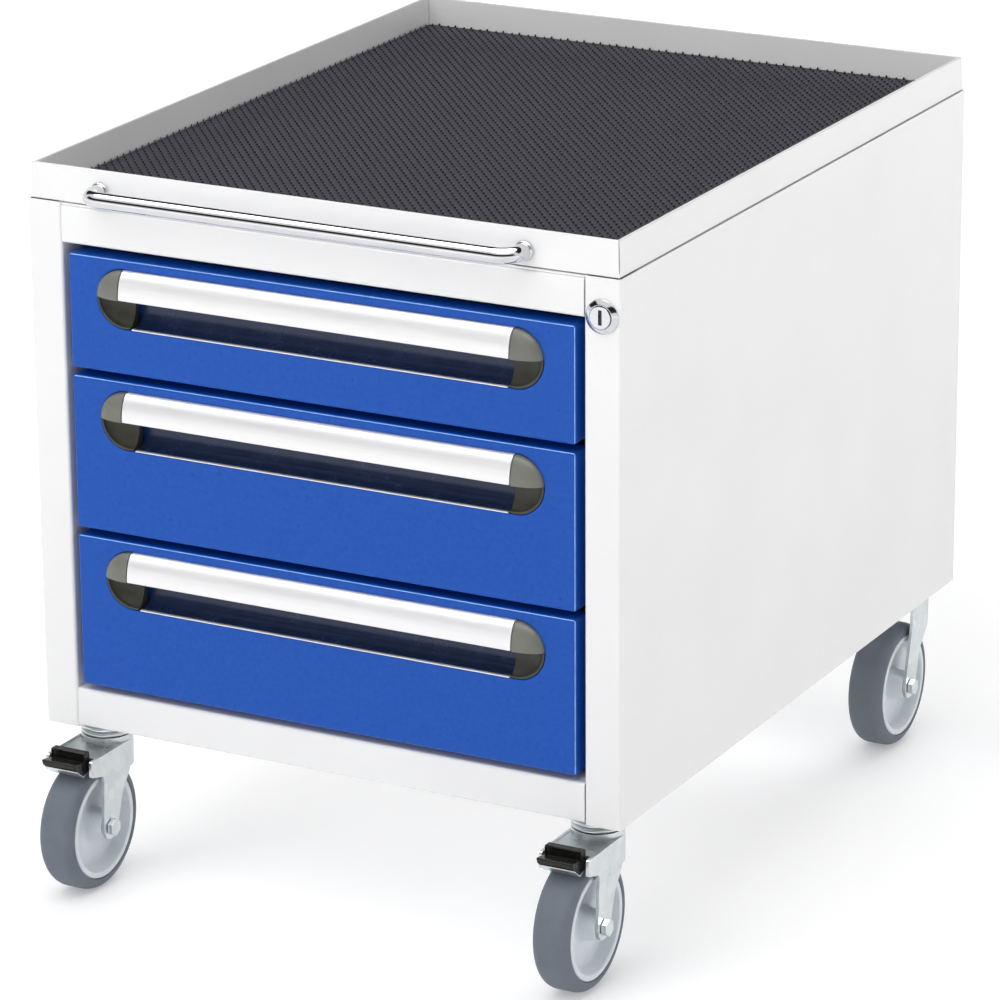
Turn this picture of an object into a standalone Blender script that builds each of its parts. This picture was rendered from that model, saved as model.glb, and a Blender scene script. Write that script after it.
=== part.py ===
# Mobile workbench: a rolling steel drawer cabinet with a tray top, three full-extension
# drawers, a side lock, a push handle, two braked swivel castors and two fixed castors.
# Metres, +Z up, the drawers face -Y, the floor is at Z = 0 and the origin is at the
# centre of the footprint.

import math

import bmesh
import bpy
from mathutils import Matrix, Vector

# ---- cabinet -----------------------------------------------------------------
CABINET_WIDTH = 0.480
CABINET_DEPTH = 0.600
CABINET_HEIGHT = 0.405
SHEET = 0.0012                  # folded steel sheet
BEND_RADIUS = 0.0022            # outside radius of a fold
POST_WIDTH = 0.028              # front posts, folded from the side panels
POST_RETURN = 0.030             # how far the posts turn back into the cabinet
REAR_FLANGE = 0.018
RAIL_RETURN = 0.020
TOP_RAIL_DROP = 0.002           # top rail sits this much below the posts
TOP_RAIL_HEIGHT = 0.028
BOTTOM_RAIL_RAISE = 0.0012      # bottom rail clears the posts' feet
BOTTOM_RAIL_HEIGHT = 0.030
PLATE = 0.0014                  # top and bottom panels
APRON_LAP = 0.004               # their front strips run this far past the posts' returns
TOP_PANEL_DROP = 0.0004         # below the cabinet's top
BACK_PANEL_INSET = 0.001        # back panel's upper and lower edges, inside the cabinet

# ---- fits --------------------------------------------------------------------
SEAT_GAP = 0.0003               # between pieces that are fastened together
RUNNING_GAP = 0.0005            # between slide members
BORE_GAP = 0.00015              # radial, round a turning shaft
JOIN = 0.0004                   # overlap of shapes that become one piece
CUT = 0.010                     # how far a cutter runs clear of what it cuts
MERGE = 0.00001                 # points closer than this become one

# ---- tray --------------------------------------------------------------------
TRAY_HEIGHT = 0.0268
TRAY_INSET = 0.0015             # tray is this much smaller than the cabinet, per side
TRAY_WALL = 0.0025              # hemmed edge
TRAY_LEAN = 0.0010              # walls lean in by this much at the rim
TRAY_FLOOR = 0.0015
TRAY_SLIT = 0.0008              # open corner seam
TRAY_SLIT_FOOT = 0.0035         # closed height below the seam
SOFT_EDGE = 0.0008              # rounding of the tray, the mat and the castor plates
MAT_THICKNESS = 0.004
MAT_MARGIN = 0.0012             # round the mat, to the tray walls

# ---- push handle -------------------------------------------------------------
HANDLE_RADIUS = 0.006
HANDLE_REACH = 0.020            # bar's centre line, out from the tray
HANDLE_BEND = 0.012
HANDLE_LEFT_INSET = 0.061       # left foot, in from the cabinet's side
HANDLE_RIGHT_INSET = 0.075
HANDLE_RISE = 0.011             # above the tray's lower edge
ROSE_RADIUS = 0.0072
ROSE_THICKNESS = 0.002

# ---- drawers -----------------------------------------------------------------
UPPER_FRONT_HEIGHT = 0.0865
DEEP_DRAWERS = ("centre", "lower")      # they share the rest of the opening's height
FRONT_SIDE_GAP = 0.006
FRONT_TOP_GAP = 0.0063
FRONT_BOTTOM_GAP = 0.005
FRONT_SPACING = 0.0055
FRONT_PROUD = 0.002
FRONT_DEPTH = 0.020
FRONT_SKIN = 0.0015
FRONT_EDGE = 0.0028             # rounding of the front's edges
BOX_SHEET = 0.0012
BOX_TOP_CLEAR = 0.010           # box walls below the front's top edge
BOX_BOTTOM_CLEAR = 0.006
BOX_SIDE_GAP = 0.006            # between the box and the slides' flanges
BOX_BACK_GAP = 0.034            # to the back panel

# ---- grips -------------------------------------------------------------------
GRIP_END_MARGIN = 0.0245        # from the front's side edges
GRIP_HEIGHT = 0.045
GRIP_TOP_MARGIN = 0.007         # below the front's top edge
GRIP_POCKET_DEPTH = 0.0175      # from the front's face
GRIP_POCKET_WALL = 0.0012
LIP_DROP = 0.0205               # height of the aluminium lip
LIP_PROUD = 0.009
LIP_THICKNESS = 0.0020
CAP_HOLLOW = 0.0095             # depth of the caps' lower scoops
CAP_THICKNESS = 0.0012
CAP_GAP = 0.0006                # round the caps, in the pocket
CAP_SHELF = 0.0004              # scoop's edge, behind the front's face

# ---- slides ------------------------------------------------------------------
SLIDE_SHEET = 0.0015
SLIDE_HEIGHT = 0.030            # outer rail
SLIDE_FLANGE = 0.0125
SLIDE_SETBACK = 0.002           # behind the posts' returns
SLIDE_BACK_GAP = 0.0253         # to the back panel
FIN_SHORTER = 0.010             # drawer's own slide member, at its rear end
SLIDE_WALL_FLANGE = 0.010       # half height of the flange on the side panel

# ---- lock --------------------------------------------------------------------
LOCK_DROP = 0.0275              # lock's centre below the cabinet's top
LOCK_ROSE_RADIUS = 0.0126
LOCK_ROSE_THICKNESS = 0.003
LOCK_ROSE_RAMP = 0.0035         # width of the rose's sloping edge
LOCK_BARREL_RADIUS = 0.0098
LOCK_BARREL_LENGTH = 0.018
PLUG_RADIUS = 0.0078
PLUG_PROUD = 0.0006
PLUG_TAIL = 0.0015              # behind the barrel
KEYWAY = (0.0028, 0.0108, 0.006)
CRANK_RADIUS = 0.0064           # eccentric pin that drives the bar
CRANK_ARM = 0.0025
CRANK_PIN_RADIUS = 0.0018
CRANK_SLOP = 0.0006             # pin in the bar's slot
BAR_FRONT = 0.024               # bar's front face, behind the cabinet's front
BAR_THICKNESS = 0.002
BAR_EDGE = 0.0024               # beside the crank's slot
BAR_END_GAP = 0.009             # to the cabinet's top and to the bottom rail
BAR_TAB_REACH = 0.0045          # tabs, inside the drawer opening
BAR_TAB_HEIGHT = 0.008
TAB_GAP = 0.001                 # round a tab, in its slot
CATCH_DROP = 0.002              # catch's top, below the box's rim
CATCH_SIDE_GAP = 0.0015         # catch to the post's return
CATCH_GAP = 0.0015              # between a tab and the catch behind it
CATCH_RISE_GAP = 0.0008         # open lock: tab above the catch
LOCK_TURN = math.radians(90)

# ---- castors -----------------------------------------------------------------
FRONT_PLATE_SIDE = 0.046
REAR_PLATE_SIDE = 0.060
PLATE_THICKNESS = 0.003
FRONT_PLATE_INSET = 0.008       # front plates' edge, behind the cabinet's front
REAR_PLATE_INSET = 0.003
SIDE_PLATE_INSET = 0.003        # rear plates; the front castors stand in line with them
SWIVEL_TRAIL = 0.030
FIXED_OFFSET = 0.022            # fixed castor's plate, behind its axle
RACE_RADIUS = 0.0212
RACE_HEIGHT = 0.0085
RACE_ROUND = 0.0022             # rounding of the race's lower edge
RACE_BORE = 0.001               # before the kingpin's hole is cut
KINGPIN_RADIUS = 0.0045
WHEEL_RADIUS = 0.050
WHEEL_WIDTH = 0.029
TYRE_CROWN = 0.0125             # width of the tyre's nearly flat tread
TREAD_FALL = 0.0001             # the tread's edges, below its middle
TYRE_DEPTH = 0.009
TYRE_BEAD = 0.0007              # straight edge of the tyre, at the rim
RIM_DEPTH = 0.0045
WEB_THICKNESS = 0.006
HUB_RADIUS = 0.012
CORE_INSET = 0.0005             # wheel centre's rim, inside the tyre's width
CORE_FILLET = 0.002             # at the foot of the hub and of the rim
AXLE_RADIUS = 0.004
BOLT_HEAD_RADIUS = 0.0068
BOLT_HEAD = 0.0045
FORK_SIDE_GAP = 0.003           # between the wheel and each cheek
CHEEK = 0.0025
CROWN_GAP = 0.007               # between the tyre and the fork's crown
CROWN_SETBACK = 0.009           # crown's front edge, behind the arms' ends
ARM_REACH = 0.024               # fork's arms, ahead of the axle
ARM_DROP = 0.010                # arms' lower edge, below the crown
SKIRT_DROP = 0.019              # fork's rounded back, below the crown
HEAD_HEIGHT = 0.0044            # fork's head, above the crown
PEDAL_SIDE_GAP = 0.003
PEDAL_FORWARD = 0.010           # pedal's pin, ahead of the axle
PEDAL_RISE = 0.0035             # pedal's pin, above the tyre's top
PEDAL_PIN_RADIUS = 0.0022
PEDAL_ARM = 0.0036              # thickness of the web from the pedal to its pin

# ---- colours -----------------------------------------------------------------
COLOURS = {
    "light_grey_paint": ((0.83, 0.83, 0.83), 0.45, 0.0),
    "blue_paint": ((0.030, 0.115, 0.51), 0.40, 0.0),
    "rubber_mat": ((0.028, 0.029, 0.038), 0.75, 0.0),
    "aluminium": ((0.88, 0.88, 0.88), 0.35, 1.0),
    "grip_plastic": ((0.19, 0.20, 0.17), 0.5, 0.0),
    "chrome": ((0.80, 0.80, 0.80), 0.08, 1.0),
    "zinc": ((0.55, 0.60, 0.61), 0.35, 1.0),
    "box_steel": ((0.60, 0.61, 0.62), 0.45, 1.0),
    "wheel_nylon": ((0.60, 0.66, 0.72), 0.45, 0.0),
    "tyre_rubber": ((0.13, 0.15, 0.19), 0.65, 0.0),
    "pedal_plastic": ((0.018, 0.018, 0.014), 0.5, 0.0),
}

# ---- worked out --------------------------------------------------------------
HALF_WIDTH = CABINET_WIDTH / 2
OPENING_HALF = HALF_WIDTH - POST_WIDTH
OPENING_TOP = CABINET_HEIGHT - TOP_RAIL_DROP - TOP_RAIL_HEIGHT
OPENING_FLOOR = BOTTOM_RAIL_RAISE + BOTTOM_RAIL_HEIGHT
BACK_PANEL_FRONT = CABINET_DEPTH - 2 * SHEET - SEAT_GAP
DEEP_SPACE = (OPENING_TOP - FRONT_TOP_GAP - UPPER_FRONT_HEIGHT - OPENING_FLOOR - FRONT_BOTTOM_GAP
              - len(DEEP_DRAWERS) * FRONT_SPACING)
FRONT_HEIGHTS = {"upper": UPPER_FRONT_HEIGHT}
FRONT_HEIGHTS.update({deep: DEEP_SPACE / len(DEEP_DRAWERS) for deep in DEEP_DRAWERS})
GRIP_LENGTH = 2 * (OPENING_HALF - FRONT_SIDE_GAP - GRIP_END_MARGIN)
SLIDE_START = POST_RETURN + SLIDE_SETBACK
SLIDE_LENGTH = BACK_PANEL_FRONT - SLIDE_BACK_GAP - SLIDE_START
RAIL_WEB = OPENING_HALF - SEAT_GAP          # outer face of the outer rail's web
TRAY_BOTTOM = CABINET_HEIGHT + SEAT_GAP
LOCK_X = HALF_WIDTH - POST_WIDTH / 2
LOCK_Z = CABINET_HEIGHT - LOCK_DROP
BAR_TRAVEL = 2 * CRANK_RADIUS * math.sin(LOCK_TURN / 2)
FORK_GAP = WHEEL_WIDTH / 2 + FORK_SIDE_GAP  # half the clear width between the cheeks
PEDAL_HALF_WIDTH = FORK_GAP - PEDAL_SIDE_GAP
RIM_RADIUS = WHEEL_RADIUS - TYRE_DEPTH
CROWN_RISE = WHEEL_RADIUS + CROWN_GAP       # fork's crown, above the axle
AXLE_Z = -(CROWN_RISE + CHEEK + HEAD_HEIGHT + RACE_HEIGHT + PLATE_THICKNESS + 2 * SEAT_GAP)
CASTOR_HEIGHT = WHEEL_RADIUS - AXLE_Z
CASTOR_X = HALF_WIDTH - SIDE_PLATE_INSET - REAR_PLATE_SIDE / 2
SWIVEL_Y = FRONT_PLATE_INSET + FRONT_PLATE_SIDE / 2
REAR_AXLE_Y = CABINET_DEPTH - REAR_PLATE_INSET - REAR_PLATE_SIDE / 2 - FIXED_OFFSET
FRONT_REACH = min(SWIVEL_Y - SWIVEL_TRAIL - WHEEL_RADIUS,
                  TRAY_INSET - HANDLE_REACH - HANDLE_RADIUS)

parts = bpy.data.collections.new("mobile_workbench")


# ---- helpers -----------------------------------------------------------------
def clear_scene():
    for thing in list(bpy.data.objects):
        bpy.data.objects.remove(thing, do_unlink=True)
    bpy.context.scene.collection.children.link(parts)


def make_materials():
    finishes = {}
    for name, (colour, roughness, metallic) in COLOURS.items():
        finish = bpy.data.materials.new(name)
        finish.use_nodes = True
        shader = finish.node_tree.nodes["Principled BSDF"]
        shader.inputs["Base Color"].default_value = (*colour, 1.0)
        shader.inputs["Roughness"].default_value = roughness
        shader.inputs["Metallic"].default_value = metallic
        finishes[name] = finish
    return finishes


def guide(name, location, parent=None):
    """An empty that its pieces hang on, such as a joint's axis."""
    empty = bpy.data.objects.new(name, None)
    empty.location = location
    empty.parent = parent
    parts.objects.link(empty)
    return empty


def finish_piece(piece, name, finish, parent, smooth=None):
    """Names a modelled piece, gives it its material and hangs it on its parent."""
    piece.name = name
    piece.data.name = name
    piece.data.materials.clear()
    piece.data.materials.append(FINISHES[finish])
    if smooth is not None:
        piece.data.shade_smooth()
        piece.data.set_sharp_from_angle(angle=math.radians(smooth))
    for owner in list(piece.users_collection):
        owner.objects.unlink(piece)
    parts.objects.link(piece)
    piece.parent = parent
    return piece


def bake(piece):
    """Turns a piece and its modifiers into a plain mesh."""
    graph = bpy.context.evaluated_depsgraph_get()
    mesh = bpy.data.meshes.new_from_object(piece.evaluated_get(graph))
    piece.modifiers.clear()
    piece.data = mesh
    return piece


def box(low, high):
    size = [b - a for a, b in zip(low, high)]
    centre = [(a + b) / 2 for a, b in zip(low, high)]
    bpy.ops.mesh.primitive_cube_add(size=1, location=centre)
    block = bpy.context.object
    block.scale = size
    bpy.ops.object.transform_apply(location=True, rotation=False, scale=True)
    return block


def rounded_box(low, high, radius, segments=2):
    block = box(low, high)
    bevel = block.modifiers.new("edge", "BEVEL")
    bevel.width = radius
    bevel.segments = segments
    return bake(block)


def cylinder(radius, start, end, sides=32):
    """A cylinder between two points on a line along X, Y or Z."""
    run = Vector(end) - Vector(start)
    middle = (Vector(end) + Vector(start)) / 2
    turn = run.to_track_quat("Z", "Y").to_euler()
    bpy.ops.mesh.primitive_cylinder_add(vertices=sides, radius=radius, depth=run.length,
                                        location=middle, rotation=turn)
    rod = bpy.context.object
    bpy.ops.object.transform_apply(location=True, rotation=True, scale=True)
    return rod


def combine(piece, other, operation):
    tool = piece.modifiers.new(operation.lower(), "BOOLEAN")
    tool.operation = operation
    tool.object = other
    bake(piece)
    bpy.data.objects.remove(other, do_unlink=True)
    return piece


def join(piece, *others):
    for other in others:
        combine(piece, other, "UNION")
    return piece


def cut(piece, *others):
    for other in others:
        combine(piece, other, "DIFFERENCE")
    return piece


def rounded(corners, closed=True, steps=3):
    """The corners (x, y, radius) of a path, each replaced by its arc."""
    path = []
    count = len(corners)
    for index, (x, y, radius) in enumerate(corners):
        here = Vector((x, y))
        if radius == 0 or (not closed and index in (0, count - 1)):
            path.append(here)
            continue
        before = Vector(corners[index - 1][:2])
        after = Vector(corners[(index + 1) % count][:2])
        back = (before - here).normalized()
        ahead = (after - here).normalized()
        half = back.angle(ahead) / 2
        centre = here + (back + ahead).normalized() * radius / math.sin(half)
        first = here + back * radius / math.tan(half) - centre
        last = here + ahead * radius / math.tan(half) - centre
        sweep = first.angle_signed(last)
        for step in range(steps + 1):
            angle = -sweep * step / steps
            path.append(centre + Matrix.Rotation(angle, 2) @ first)
    return path


PLANES = {
    "XY": Matrix.Identity(4),
    "XZ": Matrix(((1, 0, 0, 0), (0, 0, -1, 0), (0, 1, 0, 0), (0, 0, 0, 1))),
    "YZ": Matrix(((0, 0, 1, 0), (1, 0, 0, 0), (0, 1, 0, 0), (0, 0, 0, 1))),
}


def outline_solid(path, plane, start, end):
    """A flat outline in the named plane, extruded from start to end along its normal."""
    curve = bpy.data.curves.new("outline", "CURVE")
    curve.dimensions = "2D"
    curve.fill_mode = "BOTH"
    curve.extrude = abs(end - start) / 2
    spline = curve.splines.new("POLY")
    spline.points.add(len(path) - 1)
    for point, place in zip(spline.points, path):
        point.co = (place[0], place[1], 0, 1)
    spline.use_cyclic_u = True
    drawing = bpy.data.objects.new("outline", curve)
    bpy.context.scene.collection.objects.link(drawing)
    return curve_to_mesh(drawing, plane, (start + end) / 2)


def curve_to_mesh(drawing, plane="XY", offset=0.0):
    graph = bpy.context.evaluated_depsgraph_get()
    mesh = bpy.data.meshes.new_from_object(drawing.evaluated_get(graph))
    side = -1 if plane == "XZ" else 1
    mesh.transform(PLANES[plane] @ Matrix.Translation((0, 0, side * offset)))
    shape = bmesh.new()
    shape.from_mesh(mesh)
    bmesh.ops.remove_doubles(shape, verts=shape.verts, dist=MERGE)
    bmesh.ops.recalc_face_normals(shape, faces=shape.faces)
    shape.to_mesh(mesh)
    shape.free()
    solid = bpy.data.objects.new("solid", mesh)
    bpy.context.scene.collection.objects.link(solid)
    bpy.data.objects.remove(drawing, do_unlink=True)
    return solid


def folded_sheet(path, plane, start, end, thickness, inward):
    """A sheet folded along a path and extruded; inward is Solidify's offset, 1 or -1."""
    shape = bmesh.new()
    matrix = PLANES[plane]
    side = -1 if plane == "XZ" else 1
    rows = []
    for height in (start, end):
        rows.append([shape.verts.new(matrix @ Vector((*place, side * height))) for place in path])
    for index in range(len(path) - 1):
        shape.faces.new((rows[0][index], rows[0][index + 1], rows[1][index + 1], rows[1][index]))
    mesh = bpy.data.meshes.new("sheet")
    shape.to_mesh(mesh)
    shape.free()
    sheet = bpy.data.objects.new("sheet", mesh)
    bpy.context.scene.collection.objects.link(sheet)
    skin = sheet.modifiers.new("thickness", "SOLIDIFY")
    skin.thickness = thickness
    skin.offset = inward
    skin.use_even_offset = True
    bake(sheet)
    shape = bmesh.new()
    shape.from_mesh(sheet.data)
    bmesh.ops.recalc_face_normals(shape, faces=shape.faces)
    shape.to_mesh(sheet.data)
    shape.free()
    return sheet


def turned(profile, axis, sides=28):
    """Points (radius, height) down the outer side and up the inner one, spun about an axis."""
    shape = bmesh.new()
    points = [shape.verts.new((radius, 0, height)) for radius, height in profile]
    for index in range(len(points)):
        shape.edges.new((points[index], points[(index + 1) % len(points)]))
    mesh = bpy.data.meshes.new("profile")
    shape.to_mesh(mesh)
    shape.free()
    piece = bpy.data.objects.new("turned", mesh)
    bpy.context.scene.collection.objects.link(piece)
    screw = piece.modifiers.new("turn", "SCREW")
    screw.steps = sides
    screw.render_steps = sides
    screw.use_merge_vertices = True
    screw.merge_threshold = MERGE
    bake(piece)
    if axis == "X":
        piece.data.transform(Matrix.Rotation(math.radians(90), 4, "Y"))
    elif axis == "-Y":
        piece.data.transform(Matrix.Rotation(math.radians(90), 4, "X"))
    return piece


def stadium(length, height, x, z, steps=12):
    """A slot outline with semicircular ends, centred at x, z."""
    radius = height / 2
    reach = length / 2 - radius
    path = []
    for side, first in ((1, -90), (-1, 90)):
        for step in range(steps + 1):
            angle = math.radians(first + 180 * step / steps)
            path.append((x + side * reach + radius * math.cos(angle), z + radius * math.sin(angle)))
    return path


# ---- cabinet -----------------------------------------------------------------
def drawer_places():
    """Lowest Z of each drawer front, from the top drawer down."""
    places = {}
    top = OPENING_TOP - FRONT_TOP_GAP
    for name, height in FRONT_HEIGHTS.items():
        places[name] = top - height
        top -= height + FRONT_SPACING
    return places


def box_span(name):
    """The lowest and highest Z of a drawer's box."""
    low = drawer_places()[name]
    return low + BOX_BOTTOM_CLEAR, low + FRONT_HEIGHTS[name] - BOX_TOP_CLEAR


def catch_top(name):
    """The top of the catch near the top of a drawer's box."""
    return box_span(name)[1] - CATCH_DROP


def side_panel(side):
    """Outer wall with the front post and the rear flange folded in."""
    inner = side * OPENING_HALF
    outer = side * HALF_WIDTH
    path = rounded([(inner, POST_RETURN, 0), (inner, 0, BEND_RADIUS), (outer, 0, BEND_RADIUS),
                    (outer, CABINET_DEPTH, BEND_RADIUS),
                    (outer - side * REAR_FLANGE, CABINET_DEPTH, 0)], closed=False)
    return folded_sheet(path, "XY", 0, CABINET_HEIGHT, SHEET, -side)


def lock_panel():
    """The right side panel, with the lock's hole and the slots for the bar's tabs."""
    panel = side_panel(1)
    hole = cylinder(LOCK_BARREL_RADIUS + SEAT_GAP, (LOCK_X, -CUT, LOCK_Z), (LOCK_X, CUT, LOCK_Z))
    cut(panel, hole)
    for name in FRONT_HEIGHTS:
        low = catch_top(name) + CATCH_RISE_GAP - BAR_TRAVEL - TAB_GAP
        high = catch_top(name) + CATCH_RISE_GAP + BAR_TAB_HEIGHT + TAB_GAP
        slot = box((OPENING_HALF - SHEET, BAR_FRONT - TAB_GAP, low),
                   (OPENING_HALF + 2 * SHEET, BAR_FRONT + BAR_THICKNESS + TAB_GAP, high))
        cut(panel, slot)
    return panel


def channel_rail(low, high):
    """A front rail between the posts: a sheet with its upper and lower edges turned back."""
    reach = OPENING_HALF - SEAT_GAP
    path = rounded([(RAIL_RETURN, low, 0), (0, low, BEND_RADIUS), (0, high, BEND_RADIUS),
                    (RAIL_RETURN, high, 0)], closed=False)
    return folded_sheet(path, "YZ", -reach, reach, SHEET, 1)


def make_cabinet(body):
    finish_piece(side_panel(-1), "left_side_panel", "light_grey_paint", body, 30)
    finish_piece(lock_panel(), "right_side_panel", "light_grey_paint", body, 30)

    reach = HALF_WIDTH - SHEET - SEAT_GAP
    fold = HALF_WIDTH - BEND_RADIUS
    back = box((-fold, BACK_PANEL_FRONT, BACK_PANEL_INSET),
               (fold, BACK_PANEL_FRONT + SHEET, CABINET_HEIGHT - BACK_PANEL_INSET))
    finish_piece(back, "back_panel", "light_grey_paint", body)

    start = POST_RETURN + SEAT_GAP
    stop = BACK_PANEL_FRONT - SEAT_GAP
    inner = OPENING_HALF - SEAT_GAP
    floor_top = BOTTOM_RAIL_RAISE + PLATE
    floor = box((-reach, start, BOTTOM_RAIL_RAISE), (reach, stop, floor_top))
    apron = box((-inner, RAIL_RETURN + SEAT_GAP, BOTTOM_RAIL_RAISE),
                (inner, start + APRON_LAP, floor_top))
    finish_piece(join(floor, apron), "bottom_panel", "light_grey_paint", body)

    lid_top = CABINET_HEIGHT - TOP_PANEL_DROP
    lid = box((-reach, start, lid_top - PLATE), (reach, stop, lid_top))
    lid_apron = box((-inner, SHEET, lid_top - PLATE), (inner, start + APRON_LAP, lid_top))
    finish_piece(join(lid, lid_apron), "top_panel", "light_grey_paint", body)

    rail_top = CABINET_HEIGHT - TOP_RAIL_DROP
    rail = channel_rail(rail_top - TOP_RAIL_HEIGHT, rail_top)
    finish_piece(rail, "top_rail", "light_grey_paint", body, 30)
    foot = channel_rail(BOTTOM_RAIL_RAISE, BOTTOM_RAIL_RAISE + BOTTOM_RAIL_HEIGHT)
    finish_piece(foot, "bottom_rail", "light_grey_paint", body, 30)


# ---- tray and handle ---------------------------------------------------------
def make_tray(body):
    half = HALF_WIDTH - TRAY_INSET
    front = TRAY_INSET
    back = CABINET_DEPTH - TRAY_INSET
    top = TRAY_BOTTOM + TRAY_HEIGHT
    tray = box((-half, front, TRAY_BOTTOM), (half, back, top))
    for corner in tray.data.vertices:
        if corner.co.z > TRAY_BOTTOM + TRAY_HEIGHT / 2:
            corner.co.x -= math.copysign(TRAY_LEAN, corner.co.x)
            corner.co.y += TRAY_LEAN if corner.co.y < back / 2 else -TRAY_LEAN
    bevel = tray.modifiers.new("edge", "BEVEL")
    bevel.width = SOFT_EDGE
    bevel.segments = 2
    bake(tray)
    inset = TRAY_WALL + TRAY_LEAN
    hollow = box((-half + inset, front + inset, TRAY_BOTTOM + TRAY_FLOOR),
                 (half - inset, back - inset, top + CUT))
    cut(tray, hollow)
    for side in (-1, 1):
        for y in (front, back):
            seam = box((-TRAY_SLIT / 2, -2 * inset, 0), (TRAY_SLIT / 2, 2 * inset, TRAY_HEIGHT))
            angle = 45 if (side > 0) == (y == front) else -45
            seam.data.transform(Matrix.Rotation(math.radians(angle), 4, "Z"))
            seam.location = (side * half, y, TRAY_BOTTOM + TRAY_SLIT_FOOT)
            cut(tray, seam)
    finish_piece(tray, "tray_pan", "light_grey_paint", body)

    margin = inset + MAT_MARGIN
    low = TRAY_BOTTOM + TRAY_FLOOR + SEAT_GAP
    mat = rounded_box((-half + margin, front + margin, low),
                      (half - margin, back - margin, low + MAT_THICKNESS), SOFT_EDGE, 1)
    finish_piece(mat, "rubber_mat", "rubber_mat", body)


def make_handle(body):
    z = TRAY_BOTTOM + HANDLE_RISE
    wall = TRAY_INSET - SEAT_GAP
    bar_y = wall - HANDLE_REACH
    left = HANDLE_LEFT_INSET - HALF_WIDTH
    right = HALF_WIDTH - HANDLE_RIGHT_INSET
    path = rounded([(left, wall, 0), (left, bar_y, HANDLE_BEND),
                    (right, bar_y, HANDLE_BEND), (right, wall, 0)], closed=False, steps=6)
    curve = bpy.data.curves.new("bar", "CURVE")
    curve.dimensions = "3D"
    curve.bevel_depth = HANDLE_RADIUS
    curve.bevel_resolution = 3
    curve.use_fill_caps = True
    spline = curve.splines.new("POLY")
    spline.points.add(len(path) - 1)
    for point, place in zip(spline.points, path):
        point.co = (place.x, place.y, z, 1)
    drawing = bpy.data.objects.new("bar", curve)
    bpy.context.scene.collection.objects.link(drawing)
    handle = curve_to_mesh(drawing)
    for x in (left, right):
        join(handle, cylinder(ROSE_RADIUS, (x, wall - ROSE_THICKNESS, z), (x, wall, z), 24))
    finish_piece(handle, "push_handle", "chrome", body, 40)


# ---- drawers -----------------------------------------------------------------
def drawer_front(height):
    """A boxed front, open at the back, with a slot-shaped pocket for the grip."""
    half = OPENING_HALF - FRONT_SIDE_GAP
    face = -FRONT_PROUD
    back = face + FRONT_DEPTH
    panel = rounded_box((-half, face, 0), (half, back, height), FRONT_EDGE)
    hollow = box((-half + FRONT_SKIN, face + FRONT_SKIN, FRONT_SKIN),
                 (half - FRONT_SKIN, back + CUT, height - FRONT_SKIN))
    cut(panel, hollow)
    z = height - GRIP_TOP_MARGIN - GRIP_HEIGHT / 2
    wall = 2 * GRIP_POCKET_WALL
    outside = stadium(GRIP_LENGTH + wall, GRIP_HEIGHT + wall, 0, z)
    pocket_back = face + GRIP_POCKET_DEPTH
    join(panel, outline_solid(outside, "XZ", face + FRONT_SKIN - JOIN, pocket_back))
    inside = stadium(GRIP_LENGTH, GRIP_HEIGHT, 0, z)
    cut(panel, outline_solid(inside, "XZ", face - CUT, pocket_back - GRIP_POCKET_WALL))
    return panel


def grip_profile(height):
    """An extruded lip that bulges out of the front, with a flange on the pocket's ceiling."""
    half = GRIP_LENGTH / 2 - GRIP_HEIGHT / 2 - SEAT_GAP
    top = height - GRIP_TOP_MARGIN - SEAT_GAP
    face = -FRONT_PROUD
    steps = 8
    outer = []
    inner = []
    for step in range(steps + 1):
        angle = math.radians(90 * step / steps)
        outer.append((face - LIP_PROUD * math.sin(angle), top - LIP_DROP * (1 - math.cos(angle))))
        depth = (LIP_PROUD - LIP_THICKNESS) * math.sin(angle)
        drop = (LIP_DROP - LIP_THICKNESS) * (1 - math.cos(angle)) + LIP_THICKNESS
        inner.append((face - depth, top - drop))
    flange = face + GRIP_POCKET_DEPTH - GRIP_POCKET_WALL - 2 * SEAT_GAP
    path = [(flange, top - LIP_THICKNESS), (flange, top)] + outer + inner[::-1]
    return outline_solid(path, "YZ", -half, half)


def cap_depth(across, rise, lip):
    """How far out (-) or in (+) a cap's surface is; across and rise run from the cap's centre."""
    radius = GRIP_HEIGHT / 2 - CAP_GAP
    if lip:
        drop = LIP_DROP / radius - 1
        scale = math.hypot(across / radius, (rise / radius + drop) / (1 + drop))
        return -LIP_PROUD * math.sqrt(max(0.0, 1 - scale * scale))
    scale = math.hypot(across, rise) / (radius - CAP_THICKNESS)
    return CAP_HOLLOW * math.sqrt(max(0.0, 1 - scale * scale)) + CAP_SHELF


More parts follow.
